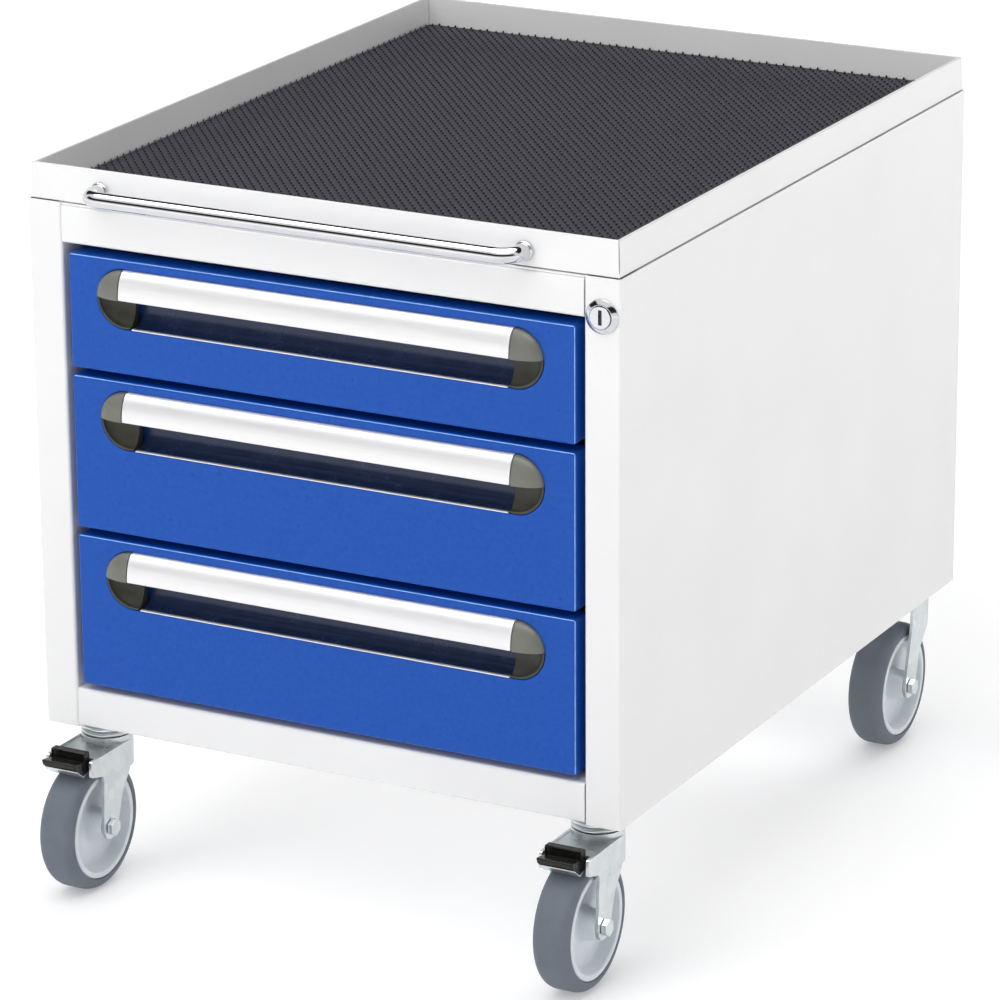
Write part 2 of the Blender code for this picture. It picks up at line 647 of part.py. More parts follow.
def grip_cap(height, side):
    """The rounded end of a grip: a bulging upper half over a scooped lower half."""
    radius = GRIP_HEIGHT / 2 - CAP_GAP
    centre_x = GRIP_LENGTH / 2 - GRIP_HEIGHT / 2 + SEAT_GAP
    centre_z = height - GRIP_TOP_MARGIN - GRIP_HEIGHT / 2
    lip_rise = radius - LIP_DROP
    scoop_radius = radius - CAP_THICKNESS
    columns = 6
    angles = [math.radians(a) for a in (0, 20, 40, 62, 84)]
    heights = [lip_rise + (radius - lip_rise) * math.sin(angle) for angle in angles[::-1]]
    lower = [lip_rise - (scoop_radius + lip_rise) * math.sin(angle) for angle in angles]
    shape = bmesh.new()
    rows = []
    for lip, levels in ((True, heights), (False, lower)):
        for rise in levels:
            reach = radius if lip else scoop_radius
            width = math.sqrt(max(0.0, reach * reach - rise * rise))
            row = []
            for column in range(columns + 1):
                across = width * math.sin(math.radians(90 * column / columns))
                depth = cap_depth(across, rise, lip)
                place = (side * (centre_x + across), depth - FRONT_PROUD, centre_z + rise)
                row.append(shape.verts.new(place))
            rows.append(row)
    for upper, under in zip(rows, rows[1:]):
        for column in range(columns):
            shape.faces.new((upper[column], upper[column + 1], under[column + 1], under[column]))
    bmesh.ops.remove_doubles(shape, verts=shape.verts, dist=2 * MERGE)
    mesh = bpy.data.meshes.new("cap")
    shape.to_mesh(mesh)
    shape.free()
    cap = bpy.data.objects.new("cap", mesh)
    bpy.context.scene.collection.objects.link(cap)
    skin = cap.modifiers.new("thickness", "SOLIDIFY")
    skin.thickness = CAP_THICKNESS
    skin.offset = side
    bake(cap)
    shape = bmesh.new()
    shape.from_mesh(cap.data)
    bmesh.ops.recalc_face_normals(shape, faces=shape.faces)
    shape.to_mesh(cap.data)
    shape.free()
    return cap


def rail_centre(low, high):
    """Slides run at the middle of the box's height."""
    return (low + high) / 2


def drawer_box(name, offset):
    """An open box with the inner slide member folded out of each side and a lock catch."""
    low, high = box_span(name)
    low -= offset
    high -= offset
    half = RAIL_WEB - SLIDE_SHEET - RUNNING_GAP - SLIDE_FLANGE - BOX_SIDE_GAP
    front = FRONT_DEPTH - FRONT_PROUD + SEAT_GAP
    back = BACK_PANEL_FRONT - BOX_BACK_GAP
    tub = box((-half, front, low), (half, back, high))
    hollow = box((-half + BOX_SHEET, front + BOX_SHEET, low + BOX_SHEET),
                 (half - BOX_SHEET, back - BOX_SHEET, high + CUT))
    cut(tub, hollow)
    z = rail_centre(low, high)
    reach = member_reach()
    fin_half = SLIDE_HEIGHT / 2 - 2 * (SLIDE_SHEET + RUNNING_GAP)
    for side in (-1, 1):
        for edge in (-1, 1):
            a = side * (half - JOIN)
            b = side * reach
            c = z + edge * fin_half
            d = c - edge * SLIDE_SHEET
            fin = box((min(a, b), SLIDE_START, min(c, d)),
                      (max(a, b), SLIDE_START + SLIDE_LENGTH - FIN_SHORTER, max(c, d)))
            join(tub, fin)
    catch_y = BAR_FRONT + BAR_THICKNESS + CATCH_GAP
    catch_high = catch_top(name) - offset
    catch = box((half - JOIN, catch_y, catch_high - BAR_TAB_HEIGHT),
                (OPENING_HALF - CATCH_SIDE_GAP, catch_y + BAR_THICKNESS, catch_high))
    return join(tub, catch)


def member_reach():
    """Outer edge of the drawer's own slide member."""
    return RAIL_WEB - 2 * (SLIDE_SHEET + RUNNING_GAP)


def make_drawer(name, body):
    low = drawer_places()[name]
    height = FRONT_HEIGHTS[name]
    drawer = guide(name + "_drawer", (0, 0, low), body)
    finish_piece(drawer_box(name, low), name + "_drawer_box", "box_steel", drawer)
    finish_piece(drawer_front(height), name + "_drawer_front", "blue_paint", drawer, 30)
    finish_piece(grip_profile(height), name + "_grip_profile", "aluminium", drawer, 30)
    for word, side in (("left", -1), ("right", 1)):
        finish_piece(grip_cap(height, side), f"{name}_grip_cap_{word}", "grip_plastic", drawer, 40)


# ---- slides ------------------------------------------------------------------
def channel(web, half, flange, side):
    """A channel's outline, open towards the drawer, with its web's outer face at web."""
    return [(side * web, -half), (side * web, half), (side * (web - flange), half),
            (side * (web - flange), half - SLIDE_SHEET),
            (side * (web - SLIDE_SHEET), half - SLIDE_SHEET),
            (side * (web - SLIDE_SHEET), -half + SLIDE_SHEET),
            (side * (web - flange), -half + SLIDE_SHEET), (side * (web - flange), -half)]


def outer_rail(side):
    """The fixed channel, on an arm and a flange that are fastened to the side panel."""
    half = SLIDE_HEIGHT / 2
    wall = HALF_WIDTH - SHEET - SEAT_GAP
    arm = SLIDE_SHEET / 2
    shape = channel(RAIL_WEB, half, SLIDE_FLANGE, side)
    bracket = [(side * RAIL_WEB, arm), (side * (wall - SLIDE_SHEET), arm),
               (side * (wall - SLIDE_SHEET), SLIDE_WALL_FLANGE), (side * wall, SLIDE_WALL_FLANGE),
               (side * wall, -SLIDE_WALL_FLANGE), (side * (wall - SLIDE_SHEET), -SLIDE_WALL_FLANGE),
               (side * (wall - SLIDE_SHEET), -arm), (side * RAIL_WEB, -arm)]
    return bracket[::-1] + shape[1:] + shape[:1]


def make_slides(name, body):
    start = SLIDE_START
    z = rail_centre(*box_span(name))
    slides = guide(name + "_slides", (0, 0, z), body)
    for word, side in (("left", -1), ("right", 1)):
        fixed = outline_solid(outer_rail(side), "XZ", start, start + SLIDE_LENGTH)
        finish_piece(fixed, f"{name}_outer_rail_{word}", "zinc", slides)
        web = RAIL_WEB - SLIDE_SHEET - RUNNING_GAP
        half = SLIDE_HEIGHT / 2 - SLIDE_SHEET - RUNNING_GAP
        moving = outline_solid(channel(web, half, SLIDE_FLANGE, side), "XZ",
                               start, start + SLIDE_LENGTH)
        finish_piece(moving, f"{name}_middle_rail_{word}", "zinc", slides)


# ---- lock --------------------------------------------------------------------
def make_lock(body):
    lock = guide("lock", (LOCK_X, 0, LOCK_Z), body)
    rose_front = -LOCK_ROSE_THICKNESS - SEAT_GAP
    bore = PLUG_RADIUS + BORE_GAP
    profile = [(bore, -rose_front), (LOCK_ROSE_RADIUS - LOCK_ROSE_RAMP, -rose_front),
               (LOCK_ROSE_RADIUS - SOFT_EDGE, LOCK_ROSE_THICKNESS * 2 / 3),
               (LOCK_ROSE_RADIUS, SEAT_GAP + SOFT_EDGE), (LOCK_ROSE_RADIUS, SEAT_GAP),
               (LOCK_BARREL_RADIUS, SEAT_GAP), (LOCK_BARREL_RADIUS, -LOCK_BARREL_LENGTH),
               (bore, -LOCK_BARREL_LENGTH)]
    finish_piece(turned(profile, "-Y"), "lock_housing", "chrome", lock, 30)

    plug_back = LOCK_BARREL_LENGTH + PLUG_TAIL
    plug = cylinder(PLUG_RADIUS, (0, rose_front - PLUG_PROUD, 0), (0, plug_back, 0), 40)
    width, tall, deep = KEYWAY
    cut(plug, box((-width / 2, rose_front - CUT, -tall / 2),
                  (width / 2, rose_front + deep, tall / 2)))
    turn = LOCK_TURN / 2
    pin_x = -CRANK_RADIUS * math.cos(turn)
    pin_z = CRANK_RADIUS * math.sin(turn)
    arm = cylinder(CRANK_RADIUS + CRANK_PIN_RADIUS, (0, plug_back - JOIN, 0),
                   (0, plug_back + CRANK_ARM, 0), 40)
    pin = cylinder(CRANK_PIN_RADIUS, (pin_x, plug_back + JOIN, pin_z),
                   (pin_x, BAR_FRONT + BAR_THICKNESS + CRANK_SLOP, pin_z), 16)
    finish_piece(join(plug, arm, pin), "lock_cylinder", "chrome", lock, 30)

    grip = CRANK_PIN_RADIUS + CRANK_SLOP
    bar_left = OPENING_HALF + SHEET + 2 * SEAT_GAP - LOCK_X
    bar_right = pin_x + grip + BAR_EDGE
    bar_low = OPENING_FLOOR + BAR_END_GAP - LOCK_Z
    bar_high = LOCK_DROP - BAR_END_GAP
    bar = box((bar_left, BAR_FRONT, bar_low), (bar_right, BAR_FRONT + BAR_THICKNESS, bar_high))
    for name in FRONT_HEIGHTS:
        low = catch_top(name) + CATCH_RISE_GAP - LOCK_Z
        tab = box((OPENING_HALF - BAR_TAB_REACH - LOCK_X, BAR_FRONT, low),
                  (bar_left + JOIN, BAR_FRONT + BAR_THICKNESS, low + BAR_TAB_HEIGHT))
        join(bar, tab)
    slot = box((-CRANK_RADIUS - grip, BAR_FRONT - CUT, pin_z - grip),
               (pin_x + grip, BAR_FRONT + CUT, pin_z + grip))
    finish_piece(cut(bar, slot), "locking_bar", "zinc", lock)


# ---- castors -----------------------------------------------------------------
# front, foot and back of every cheek's lower end, round the axle
AXLE_END = [(-0.0095, 0.000, 0.002), (-0.0060, -0.0095, 0.006), (0.0070, -0.0095, 0.006),
            (0.0105, 0.000, 0.002)]


def axle_hole():
    reach = FORK_GAP + CHEEK + CUT
    return cylinder(AXLE_RADIUS + SEAT_GAP, (-reach, 0, 0), (reach, 0, 0), 16)


def cheeks(outline):
    """Two equal side plates of a fork, at the axle's height."""
    plates = []
    for side in (-1, 1):
        a = side * FORK_GAP
        b = side * (FORK_GAP + CHEEK)
        plates.append(outline_solid(outline, "YZ", min(a, b), max(a, b)))
    return plates


def swivel_fork():
    """Cheeks with forward arms, a rounded back and a crown under the swivel head."""
    top = CROWN_RISE + CHEEK
    front = ARM_REACH
    shoulder = CROWN_RISE - ARM_DROP
    outline = rounded(AXLE_END + [(0.0175, shoulder - 0.026, 0.004),
                                  (SWIVEL_TRAIL - 0.001, shoulder - 0.010, 0.004),
                                  (SWIVEL_TRAIL, top, 0), (-front, top, 0.002),
                                  (-front, shoulder, 0.001), (-0.0070, shoulder - 0.0045, 0.004)])
    left, right = cheeks(outline)
    crown = box((-FORK_GAP - JOIN, CROWN_SETBACK - front, CROWN_RISE),
                (FORK_GAP + JOIN, SWIVEL_TRAIL + CHEEK, top - JOIN))
    outer = FORK_GAP + CHEEK - JOIN
    head_top = top + HEAD_HEIGHT
    head = cylinder(outer, (0, SWIVEL_TRAIL, CROWN_RISE - JOIN), (0, SWIVEL_TRAIL, head_top), 24)
    skirt = CROWN_RISE - SKIRT_DROP
    wrap = cylinder(outer, (0, SWIVEL_TRAIL, skirt), (0, SWIVEL_TRAIL, CROWN_RISE + JOIN), 24)
    cut(wrap, cylinder(FORK_GAP + JOIN, (0, SWIVEL_TRAIL, skirt - CUT),
                       (0, SWIVEL_TRAIL, CROWN_RISE + CUT), 24))
    cut(wrap, box((-2 * outer, SWIVEL_TRAIL - 2 * outer, skirt - CUT),
                  (2 * outer, SWIVEL_TRAIL - 2 * CHEEK, CROWN_RISE + CUT)))
    kingpin = cylinder(KINGPIN_RADIUS, (0, SWIVEL_TRAIL, head_top - JOIN),
                       (0, SWIVEL_TRAIL, -AXLE_Z - SEAT_GAP - SOFT_EDGE), 16)
    fork = join(head, wrap, crown, left, right, kingpin)
    return cut(fork, axle_hole())


def mounting_plate():
    """Plate and bearing race, with its origin on the swivel axis at the cabinet's bottom."""
    half = FRONT_PLATE_SIDE / 2
    low = -SEAT_GAP - PLATE_THICKNESS
    plate = rounded_box((-half, -half, low), (half, half, -SEAT_GAP), SOFT_EDGE, 1)
    rim = low - RACE_HEIGHT
    race = turned([(RACE_BORE, low + JOIN), (RACE_RADIUS - RACE_ROUND / 2, low + JOIN),
                   (RACE_RADIUS, low - RACE_ROUND / 2), (RACE_RADIUS, rim + RACE_ROUND),
                   (RACE_RADIUS - RACE_ROUND, rim), (RACE_BORE, rim)], "Z")
    join(plate, race)
    hole = KINGPIN_RADIUS + BORE_GAP
    return cut(plate, cylinder(hole, (0, 0, rim - CUT), (0, 0, CUT), 16))


def fixed_fork():
    """A plate with two cheeks that lean forward to the axle."""
    plate_top = -AXLE_Z - SEAT_GAP
    plate_low = plate_top - PLATE_THICKNESS
    top = plate_low + JOIN
    heel = FIXED_OFFSET + 0.012
    outline = rounded(AXLE_END + [(0.0185, CROWN_RISE - 0.031, 0.004),
                                  (heel, CROWN_RISE - 0.014, 0.004), (heel + 0.001, top, 0),
                                  (0.0040, top, 0), (0.0030, CROWN_RISE - 0.007, 0.003)])
    left, right = cheeks(outline)
    half = REAR_PLATE_SIDE / 2
    plate = rounded_box((-half, FIXED_OFFSET - half, plate_low),
                        (half, FIXED_OFFSET + half, plate_top), SOFT_EDGE, 1)
    return cut(join(plate, left, right), axle_hole())


def wheel_core():
    """Hub, web and rim in one moulding."""
    half = WHEEL_WIDTH / 2 - CORE_INSET
    hub = FORK_GAP - SEAT_GAP
    web = WEB_THICKNESS / 2
    rim_in = RIM_RADIUS - RIM_DEPTH
    profile = [(AXLE_RADIUS + BORE_GAP, hub), (HUB_RADIUS - CORE_FILLET, hub),
               (HUB_RADIUS, web + CORE_FILLET), (HUB_RADIUS + CORE_FILLET, web),
               (rim_in - CORE_FILLET, web), (rim_in, web + CORE_FILLET),
               (rim_in + CORE_INSET, half), (RIM_RADIUS, half)]
    mirrored = [(radius, -height) for radius, height in reversed(profile)]
    return turned(profile + mirrored, "X")


def tyre():
    """A tyre with a nearly flat tread and rounded shoulders."""
    inside = RIM_RADIUS + SEAT_GAP
    half = WHEEL_WIDTH / 2
    crown = TYRE_CROWN / 2
    base = inside + TYRE_BEAD
    steps = 4
    shoulder = []
    for step in range(steps + 1):
        angle = math.radians(90 * step / steps)
        radius = base + (WHEEL_RADIUS - TREAD_FALL - base) * math.sin(angle)
        shoulder.append((radius, crown + (half - crown) * math.cos(angle)))
    upper = [(inside, half - TYRE_BEAD)] + shoulder
    mirrored = [(radius, -height) for radius, height in reversed(upper)]
    return turned(upper + [(WHEEL_RADIUS, 0.0)] + mirrored, "X", 36)


def axle_bolt():
    """A shaft with a hexagon head and a matching nut outside the cheeks."""
    face = FORK_GAP + CHEEK + SEAT_GAP
    bolt = cylinder(AXLE_RADIUS, (-face - 0.001, 0, 0), (face + 0.001, 0, 0), 20)
    for side in (-1, 1):
        head = cylinder(BOLT_HEAD_RADIUS, (side * face, 0, 0), (side * (face + BOLT_HEAD), 0, 0), 6)
        join(bolt, head)
    return bolt


def brake_pedal():
    """A stepped foot pedal on a cross pin between the fork's arms; origin on the pin."""
    outline = rounded([(-0.0035, 0.0030, 0.001), (-0.0035, -0.0030, 0.001), (-0.0100, -0.0042, 0.001),
                       (-0.0165, -0.0050, 0.001), (-0.0270, 0.0030, 0.0015),
                       (-0.0285, 0.0075, 0.0012), (-0.0170, 0.0065, 0), (-0.0150, 0.0120, 0.001),
                       (-0.0080, 0.0125, 0.001), (-0.0075, 0.0030, 0)], steps=2)
    blade = outline_solid(outline, "YZ", -PEDAL_HALF_WIDTH, PEDAL_HALF_WIDTH)
    arm = box((-PEDAL_HALF_WIDTH, -2 * PEDAL_PIN_RADIUS, -PEDAL_ARM / 2),
              (PEDAL_HALF_WIDTH, 0, PEDAL_ARM / 2))
    reach = FORK_GAP - SEAT_GAP
    pin = cylinder(PEDAL_PIN_RADIUS, (-reach, 0, 0), (reach, 0, 0), 16)
    return join(blade, arm, pin)


def make_wheel(prefix, axle):
    finish_piece(wheel_core(), prefix + "_wheel_core", "wheel_nylon", axle, 30)
    finish_piece(tyre(), prefix + "_tyre", "tyre_rubber", axle, 50)
    finish_piece(axle_bolt(), prefix + "_axle_bolt", "zinc", axle, 30)


def make_castors(body):
    for word, side in (("left", -1), ("right", 1)):
        x = side * CASTOR_X
        prefix = "front_" + word
        swivel = guide(prefix + "_swivel", (x, SWIVEL_Y, 0), body)
        finish_piece(mounting_plate(), prefix + "_castor_plate", "zinc", swivel, 30)
        axle = guide(prefix + "_axle", (0, -SWIVEL_TRAIL, AXLE_Z), swivel)
        finish_piece(swivel_fork(), prefix + "_fork", "zinc", axle, 30)
        make_wheel(prefix, axle)
        pedal = finish_piece(brake_pedal(), prefix + "_brake_pedal", "pedal_plastic", axle, 30)
        pedal.location = (0, -PEDAL_FORWARD, WHEEL_RADIUS + PEDAL_RISE)

        prefix = "rear_" + word
        axle = guide(prefix + "_axle", (x, REAR_AXLE_Y, AXLE_Z), body)
        finish_piece(fixed_fork(), prefix + "_fork", "zinc", axle, 30)
        make_wheel(prefix, axle)


clear_scene()
FINISHES = make_materials()
cabinet_base = guide("cabinet_base", (0, -(CABINET_DEPTH + FRONT_REACH) / 2, CASTOR_HEIGHT))
make_cabinet(cabinet_base)
make_tray(cabinet_base)
make_handle(cabinet_base)
for drawer_name in FRONT_HEIGHTS:
    make_drawer(drawer_name, cabinet_base)
    make_slides(drawer_name, cabinet_base)
make_lock(cabinet_base)
make_castors(cabinet_base)
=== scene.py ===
# Rolling workbench with three drawers: the look of every surface, over the fixed frame.
import math

import bmesh
import bpy
from mathutils import Matrix, Vector


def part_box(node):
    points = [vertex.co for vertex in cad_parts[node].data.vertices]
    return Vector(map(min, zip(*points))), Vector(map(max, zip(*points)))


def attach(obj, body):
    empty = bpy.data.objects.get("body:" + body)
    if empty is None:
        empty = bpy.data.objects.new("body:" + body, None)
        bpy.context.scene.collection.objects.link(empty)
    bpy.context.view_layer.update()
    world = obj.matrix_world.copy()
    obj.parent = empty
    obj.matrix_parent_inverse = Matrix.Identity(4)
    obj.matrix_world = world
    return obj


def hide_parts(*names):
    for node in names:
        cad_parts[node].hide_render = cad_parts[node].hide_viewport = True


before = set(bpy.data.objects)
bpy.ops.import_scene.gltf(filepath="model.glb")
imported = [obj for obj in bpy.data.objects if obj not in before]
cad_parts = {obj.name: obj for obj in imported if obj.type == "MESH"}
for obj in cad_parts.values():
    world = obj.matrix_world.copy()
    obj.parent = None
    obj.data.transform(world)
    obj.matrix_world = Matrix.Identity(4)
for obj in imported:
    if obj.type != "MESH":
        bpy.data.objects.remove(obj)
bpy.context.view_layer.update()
print("frame loaded")

hair = 0.00001                     # points closer than this become one


# small helpers, one for each thing a hand does
def dropPick():
    if bpy.context.mode != "OBJECT":
        bpy.ops.object.mode_set(mode="OBJECT")
    bpy.ops.object.select_all(action="DESELECT")


def takeUp(piece):
    dropPick()
    piece.select_set(True)
    bpy.context.view_layer.objects.active = piece


def editOpen(piece, kind="FACE"):
    takeUp(piece)
    bpy.ops.object.mode_set(mode="EDIT")
    bpy.ops.mesh.select_mode(type=kind)
    bpy.ops.mesh.select_all(action="DESELECT")


def editDone():
    bpy.ops.object.mode_set(mode="OBJECT")


def pickFaces(piece, wanted):
    shape = bmesh.from_edit_mesh(piece.data)
    for face in shape.faces:
        face.select_set(wanted(face.calc_center_median(), face.normal))
    bmesh.update_edit_mesh(piece.data)


def pickEdges(piece, wanted):
    shape = bmesh.from_edit_mesh(piece.data)
    for edge in shape.edges:
        edge.select_set(wanted(edge.verts[0].co, edge.verts[1].co))
    bmesh.update_edit_mesh(piece.data)


def pickPoints(piece, wanted):
    shape = bmesh.from_edit_mesh(piece.data)
    for point in shape.verts:
        point.select_set(wanted(point.co))
    shape.select_flush_mode()
    bmesh.update_edit_mesh(piece.data)


def nameIt(piece, name):
    piece.name = name
    piece.data.name = name
    return piece


def settle(piece):
    takeUp(piece)
    bpy.ops.object.transform_apply(location=True, rotation=True, scale=True)
    return piece


def startBlock(name, low, high):
    dropPick()
    size = [b - a for a, b in zip(low, high)]
    middle = [(a + b) / 2 for a, b in zip(low, high)]
    bpy.ops.mesh.primitive_cube_add(size=1, location=middle, scale=size)
    return settle(nameIt(bpy.context.object, name))


def startRod(name, radius, start, end, sides=48):
    dropPick()
    run = Vector(end) - Vector(start)
    middle = (Vector(end) + Vector(start)) / 2
    bpy.ops.mesh.primitive_cylinder_add(vertices=sides, radius=radius, depth=run.length,
                                        location=middle,
                                        rotation=run.to_track_quat("Z", "Y").to_euler())
    return settle(nameIt(bpy.context.object, name))


def startBall(name, centre, radii, segments=48, rings=24):
    dropPick()
    bpy.ops.mesh.primitive_uv_sphere_add(segments=segments, ring_count=rings, radius=1,
                                         location=centre, scale=radii)
    return settle(nameIt(bpy.context.object, name))


def penLine(name, points, closed=True):
    # a plane merged to one point, then pulled from point to point
    dropPick()
    bpy.ops.mesh.primitive_plane_add(size=0.001, location=points[0])
    line = settle(nameIt(bpy.context.object, name))
    editOpen(line, "VERT")
    bpy.ops.mesh.select_all(action="SELECT")
    bpy.ops.mesh.merge(type="CENTER")
    trail = list(points) + ([points[0]] if closed else [])
    for before, after in zip(trail, trail[1:]):
        step = Vector(after) - Vector(before)
        bpy.ops.mesh.extrude_region_move(TRANSFORM_OT_translate={"value": step})
    if closed:
        bpy.ops.mesh.select_all(action="SELECT")
        bpy.ops.mesh.remove_doubles(threshold=hair)
        bpy.ops.mesh.select_all(action="SELECT")
        bpy.ops.mesh.edge_face_add()
    editDone()
    return line


def drawnSolid(name, points, push):
    # a closed outline pushed straight into a solid
    solid = penLine(name, points)
    editOpen(solid)
    bpy.ops.mesh.select_all(action="SELECT")
    bpy.ops.mesh.extrude_region_move(TRANSFORM_OT_translate={"value": push})
    bpy.ops.mesh.select_all(action="SELECT")
    bpy.ops.mesh.normals_make_consistent(inside=False)
    editDone()
    return solid


def turnedSolid(name, points, centre, axis, steps):
    # an outline spun once round an axis
    solid = penLine(name, points, closed=False)
    editOpen(solid, "VERT")
    bpy.ops.mesh.select_all(action="SELECT")
    bpy.ops.mesh.spin(steps=steps, angle=2 * math.pi, center=centre, axis=axis)
    bpy.ops.mesh.select_all(action="SELECT")
    bpy.ops.mesh.remove_doubles(threshold=hair)
    bpy.ops.mesh.select_all(action="SELECT")
    bpy.ops.mesh.normals_make_consistent(inside=False)
    editDone()
    return solid


def useModifiers(piece):
    takeUp(piece)
    for step in [modifier.name for modifier in piece.modifiers]:
        bpy.ops.object.modifier_apply(modifier=step)
    return piece


def carve(piece, tool, way="DIFFERENCE"):
    knife = piece.modifiers.new("carve", "BOOLEAN")
    knife.operation = way
    knife.object = tool
    useModifiers(piece)
    bpy.data.objects.remove(tool, do_unlink=True)
    return piece


def soften(piece, width, segments=2, angle=40):
    takeUp(piece)
    bpy.ops.object.shade_smooth_by_angle(angle=math.radians(angle))
    edge = piece.modifiers.new("edge", "BEVEL")
    edge.width = width
    edge.segments = segments
    edge.limit_method = "ANGLE"
    edge.angle_limit = math.radians(angle)
    edge.use_clamp_overlap = True
    edge.harden_normals = True
    return useModifiers(piece)


def smoothOff(piece, angle=35):
    takeUp(piece)
    bpy.ops.object.shade_smooth_by_angle(angle=math.radians(angle))
    even = piece.modifiers.new("even", "WEIGHTED_NORMAL")
    even.keep_sharp = True
    return useModifiers(piece)


def weld(piece, *others):
    dropPick()
    for other in others:
        other.select_set(True)
    piece.select_set(True)
    bpy.context.view_layer.objects.active = piece
    bpy.ops.object.join()
    return piece


def twin(piece, name, shift=(0, 0, 0)):
    # the same piece again, with a mesh of its own
    takeUp(piece)
    bpy.ops.object.duplicate()
    again = nameIt(bpy.context.object, name)
    again.data.transform(Matrix.Translation(shift))
    return again


def copyNode(node, name):
    # a carried-over node's shape, its loose triangles merged and its flats whole again
    takeUp(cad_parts[node])
    bpy.ops.object.duplicate()
    piece = nameIt(bpy.context.object, name)
    home = piece.matrix_world.copy()
    piece.parent = None
    piece.matrix_world = home
    settle(piece)
    editOpen(piece)
    bpy.ops.mesh.select_all(action="SELECT")
    bpy.ops.mesh.remove_doubles(threshold=hair)
    bpy.ops.mesh.select_all(action="SELECT")
    bpy.ops.mesh.dissolve_limited(angle_limit=math.radians(0.5))
    editDone()
    takeUp(piece)
    bpy.ops.mesh.customdata_custom_splitnormals_clear()
    return piece


def fit(piece, body, finish, slot, *nodes):
    # its finish, the body it moves with, and the nodes it stands for
    piece.data.materials.clear()
    piece.data.materials.append(finishes[finish])
    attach(piece, body)
    if nodes:
        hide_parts(*nodes)
    return piece


def middle(node):
    low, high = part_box(node)
    return (low + high) / 2


# camera and light
lens = {"mm": 181.0, "sensor": 36.0, "azimuth": 28.08, "elevation": 18.61, "roll": -0.387,
        "distance": 3.850, "target": (-0.0013, 0.0, 0.2538)}


def placeCamera():
    around = math.radians(lens["azimuth"])
    above = math.radians(lens["elevation"])
    back = Vector((math.sin(around) * math.cos(above), -math.cos(around) * math.cos(above),
                   math.sin(above)))
    side = Vector((math.cos(around), math.sin(around), 0))
    up = back.cross(side)
    turn = math.radians(lens["roll"])
    across = side * math.cos(turn) + up * math.sin(turn)
    rise = up * math.cos(turn) - side * math.sin(turn)
    data = bpy.data.cameras.new("camera")
    data.lens = lens["mm"]
    data.sensor_width = lens["sensor"]
    data.clip_start = 0.1
    data.clip_end = 60
    camera = bpy.data.objects.new("camera", data)
    bpy.context.scene.collection.objects.link(camera)
    facing = Matrix((across, rise, back)).transposed().to_4x4()
    camera.matrix_world = Matrix.Translation(Vector(lens["target"]) + back * lens["distance"]) @ facing
    bpy.context.scene.camera = camera


softboxes = {
    "overhead": {"place": (-0.3, -1.3, 2.3), "aim": (0, 0, 0.3), "size": (2.6, 2.2), "power": 32},
    "front": {"place": (-1.1, -3.2, 1.1), "aim": (0, 0, 0.25), "size": (2.4, 1.6), "power": 26},
    "rightSide": {"place": (2.9, -0.2, 1.1), "aim": (0.1, 0, 0.25), "size": (1.8, 1.8), "power": 21},
    "leftSide": {"place": (-2.9, 0.6, 1.1), "aim": (0, 0, 0.25), "size": (1.8, 1.8), "power": 14},
    "behind": {"place": (0.6, 3.1, 1.2), "aim": (0, 0, 0.25), "size": (2.0, 1.6), "power": 22},
    "backdrop": {"place": (-1.5, 5.5, 3.5), "aim": (-1.5, 6.0, 0), "size": (6.0, 4.0), "power": 260},
}


def hangSoftboxes():
    for name, box in softboxes.items():
        data = bpy.data.lights.new(name, "AREA")
        data.shape = "RECTANGLE"
        data.size, data.size_y = box["size"]
        data.energy = box["power"]
        light = bpy.data.objects.new(name, data)
        light.location = box["place"]
        aim = Vector(box["aim"]) - Vector(box["place"])
        light.rotation_euler = aim.to_track_quat("-Z", "Y").to_euler()
        light.visible_glossy = False                  # bright metal sees the room, not the lamps
        bpy.context.scene.collection.objects.link(light)


room = {"glow": 0.95, "fill": 0.22, "ceiling": 5.0, "ceilingFrom": 0.80, "ceilingSoft": 0.05,
        "bandSoft": 0.03, "bandTurn": (0.05, 0.25),
        "dusk": (0.030, 0.022, 0.024), "frontBand": (0.14, 0.52), "backBand": (0.34, 0.82)}


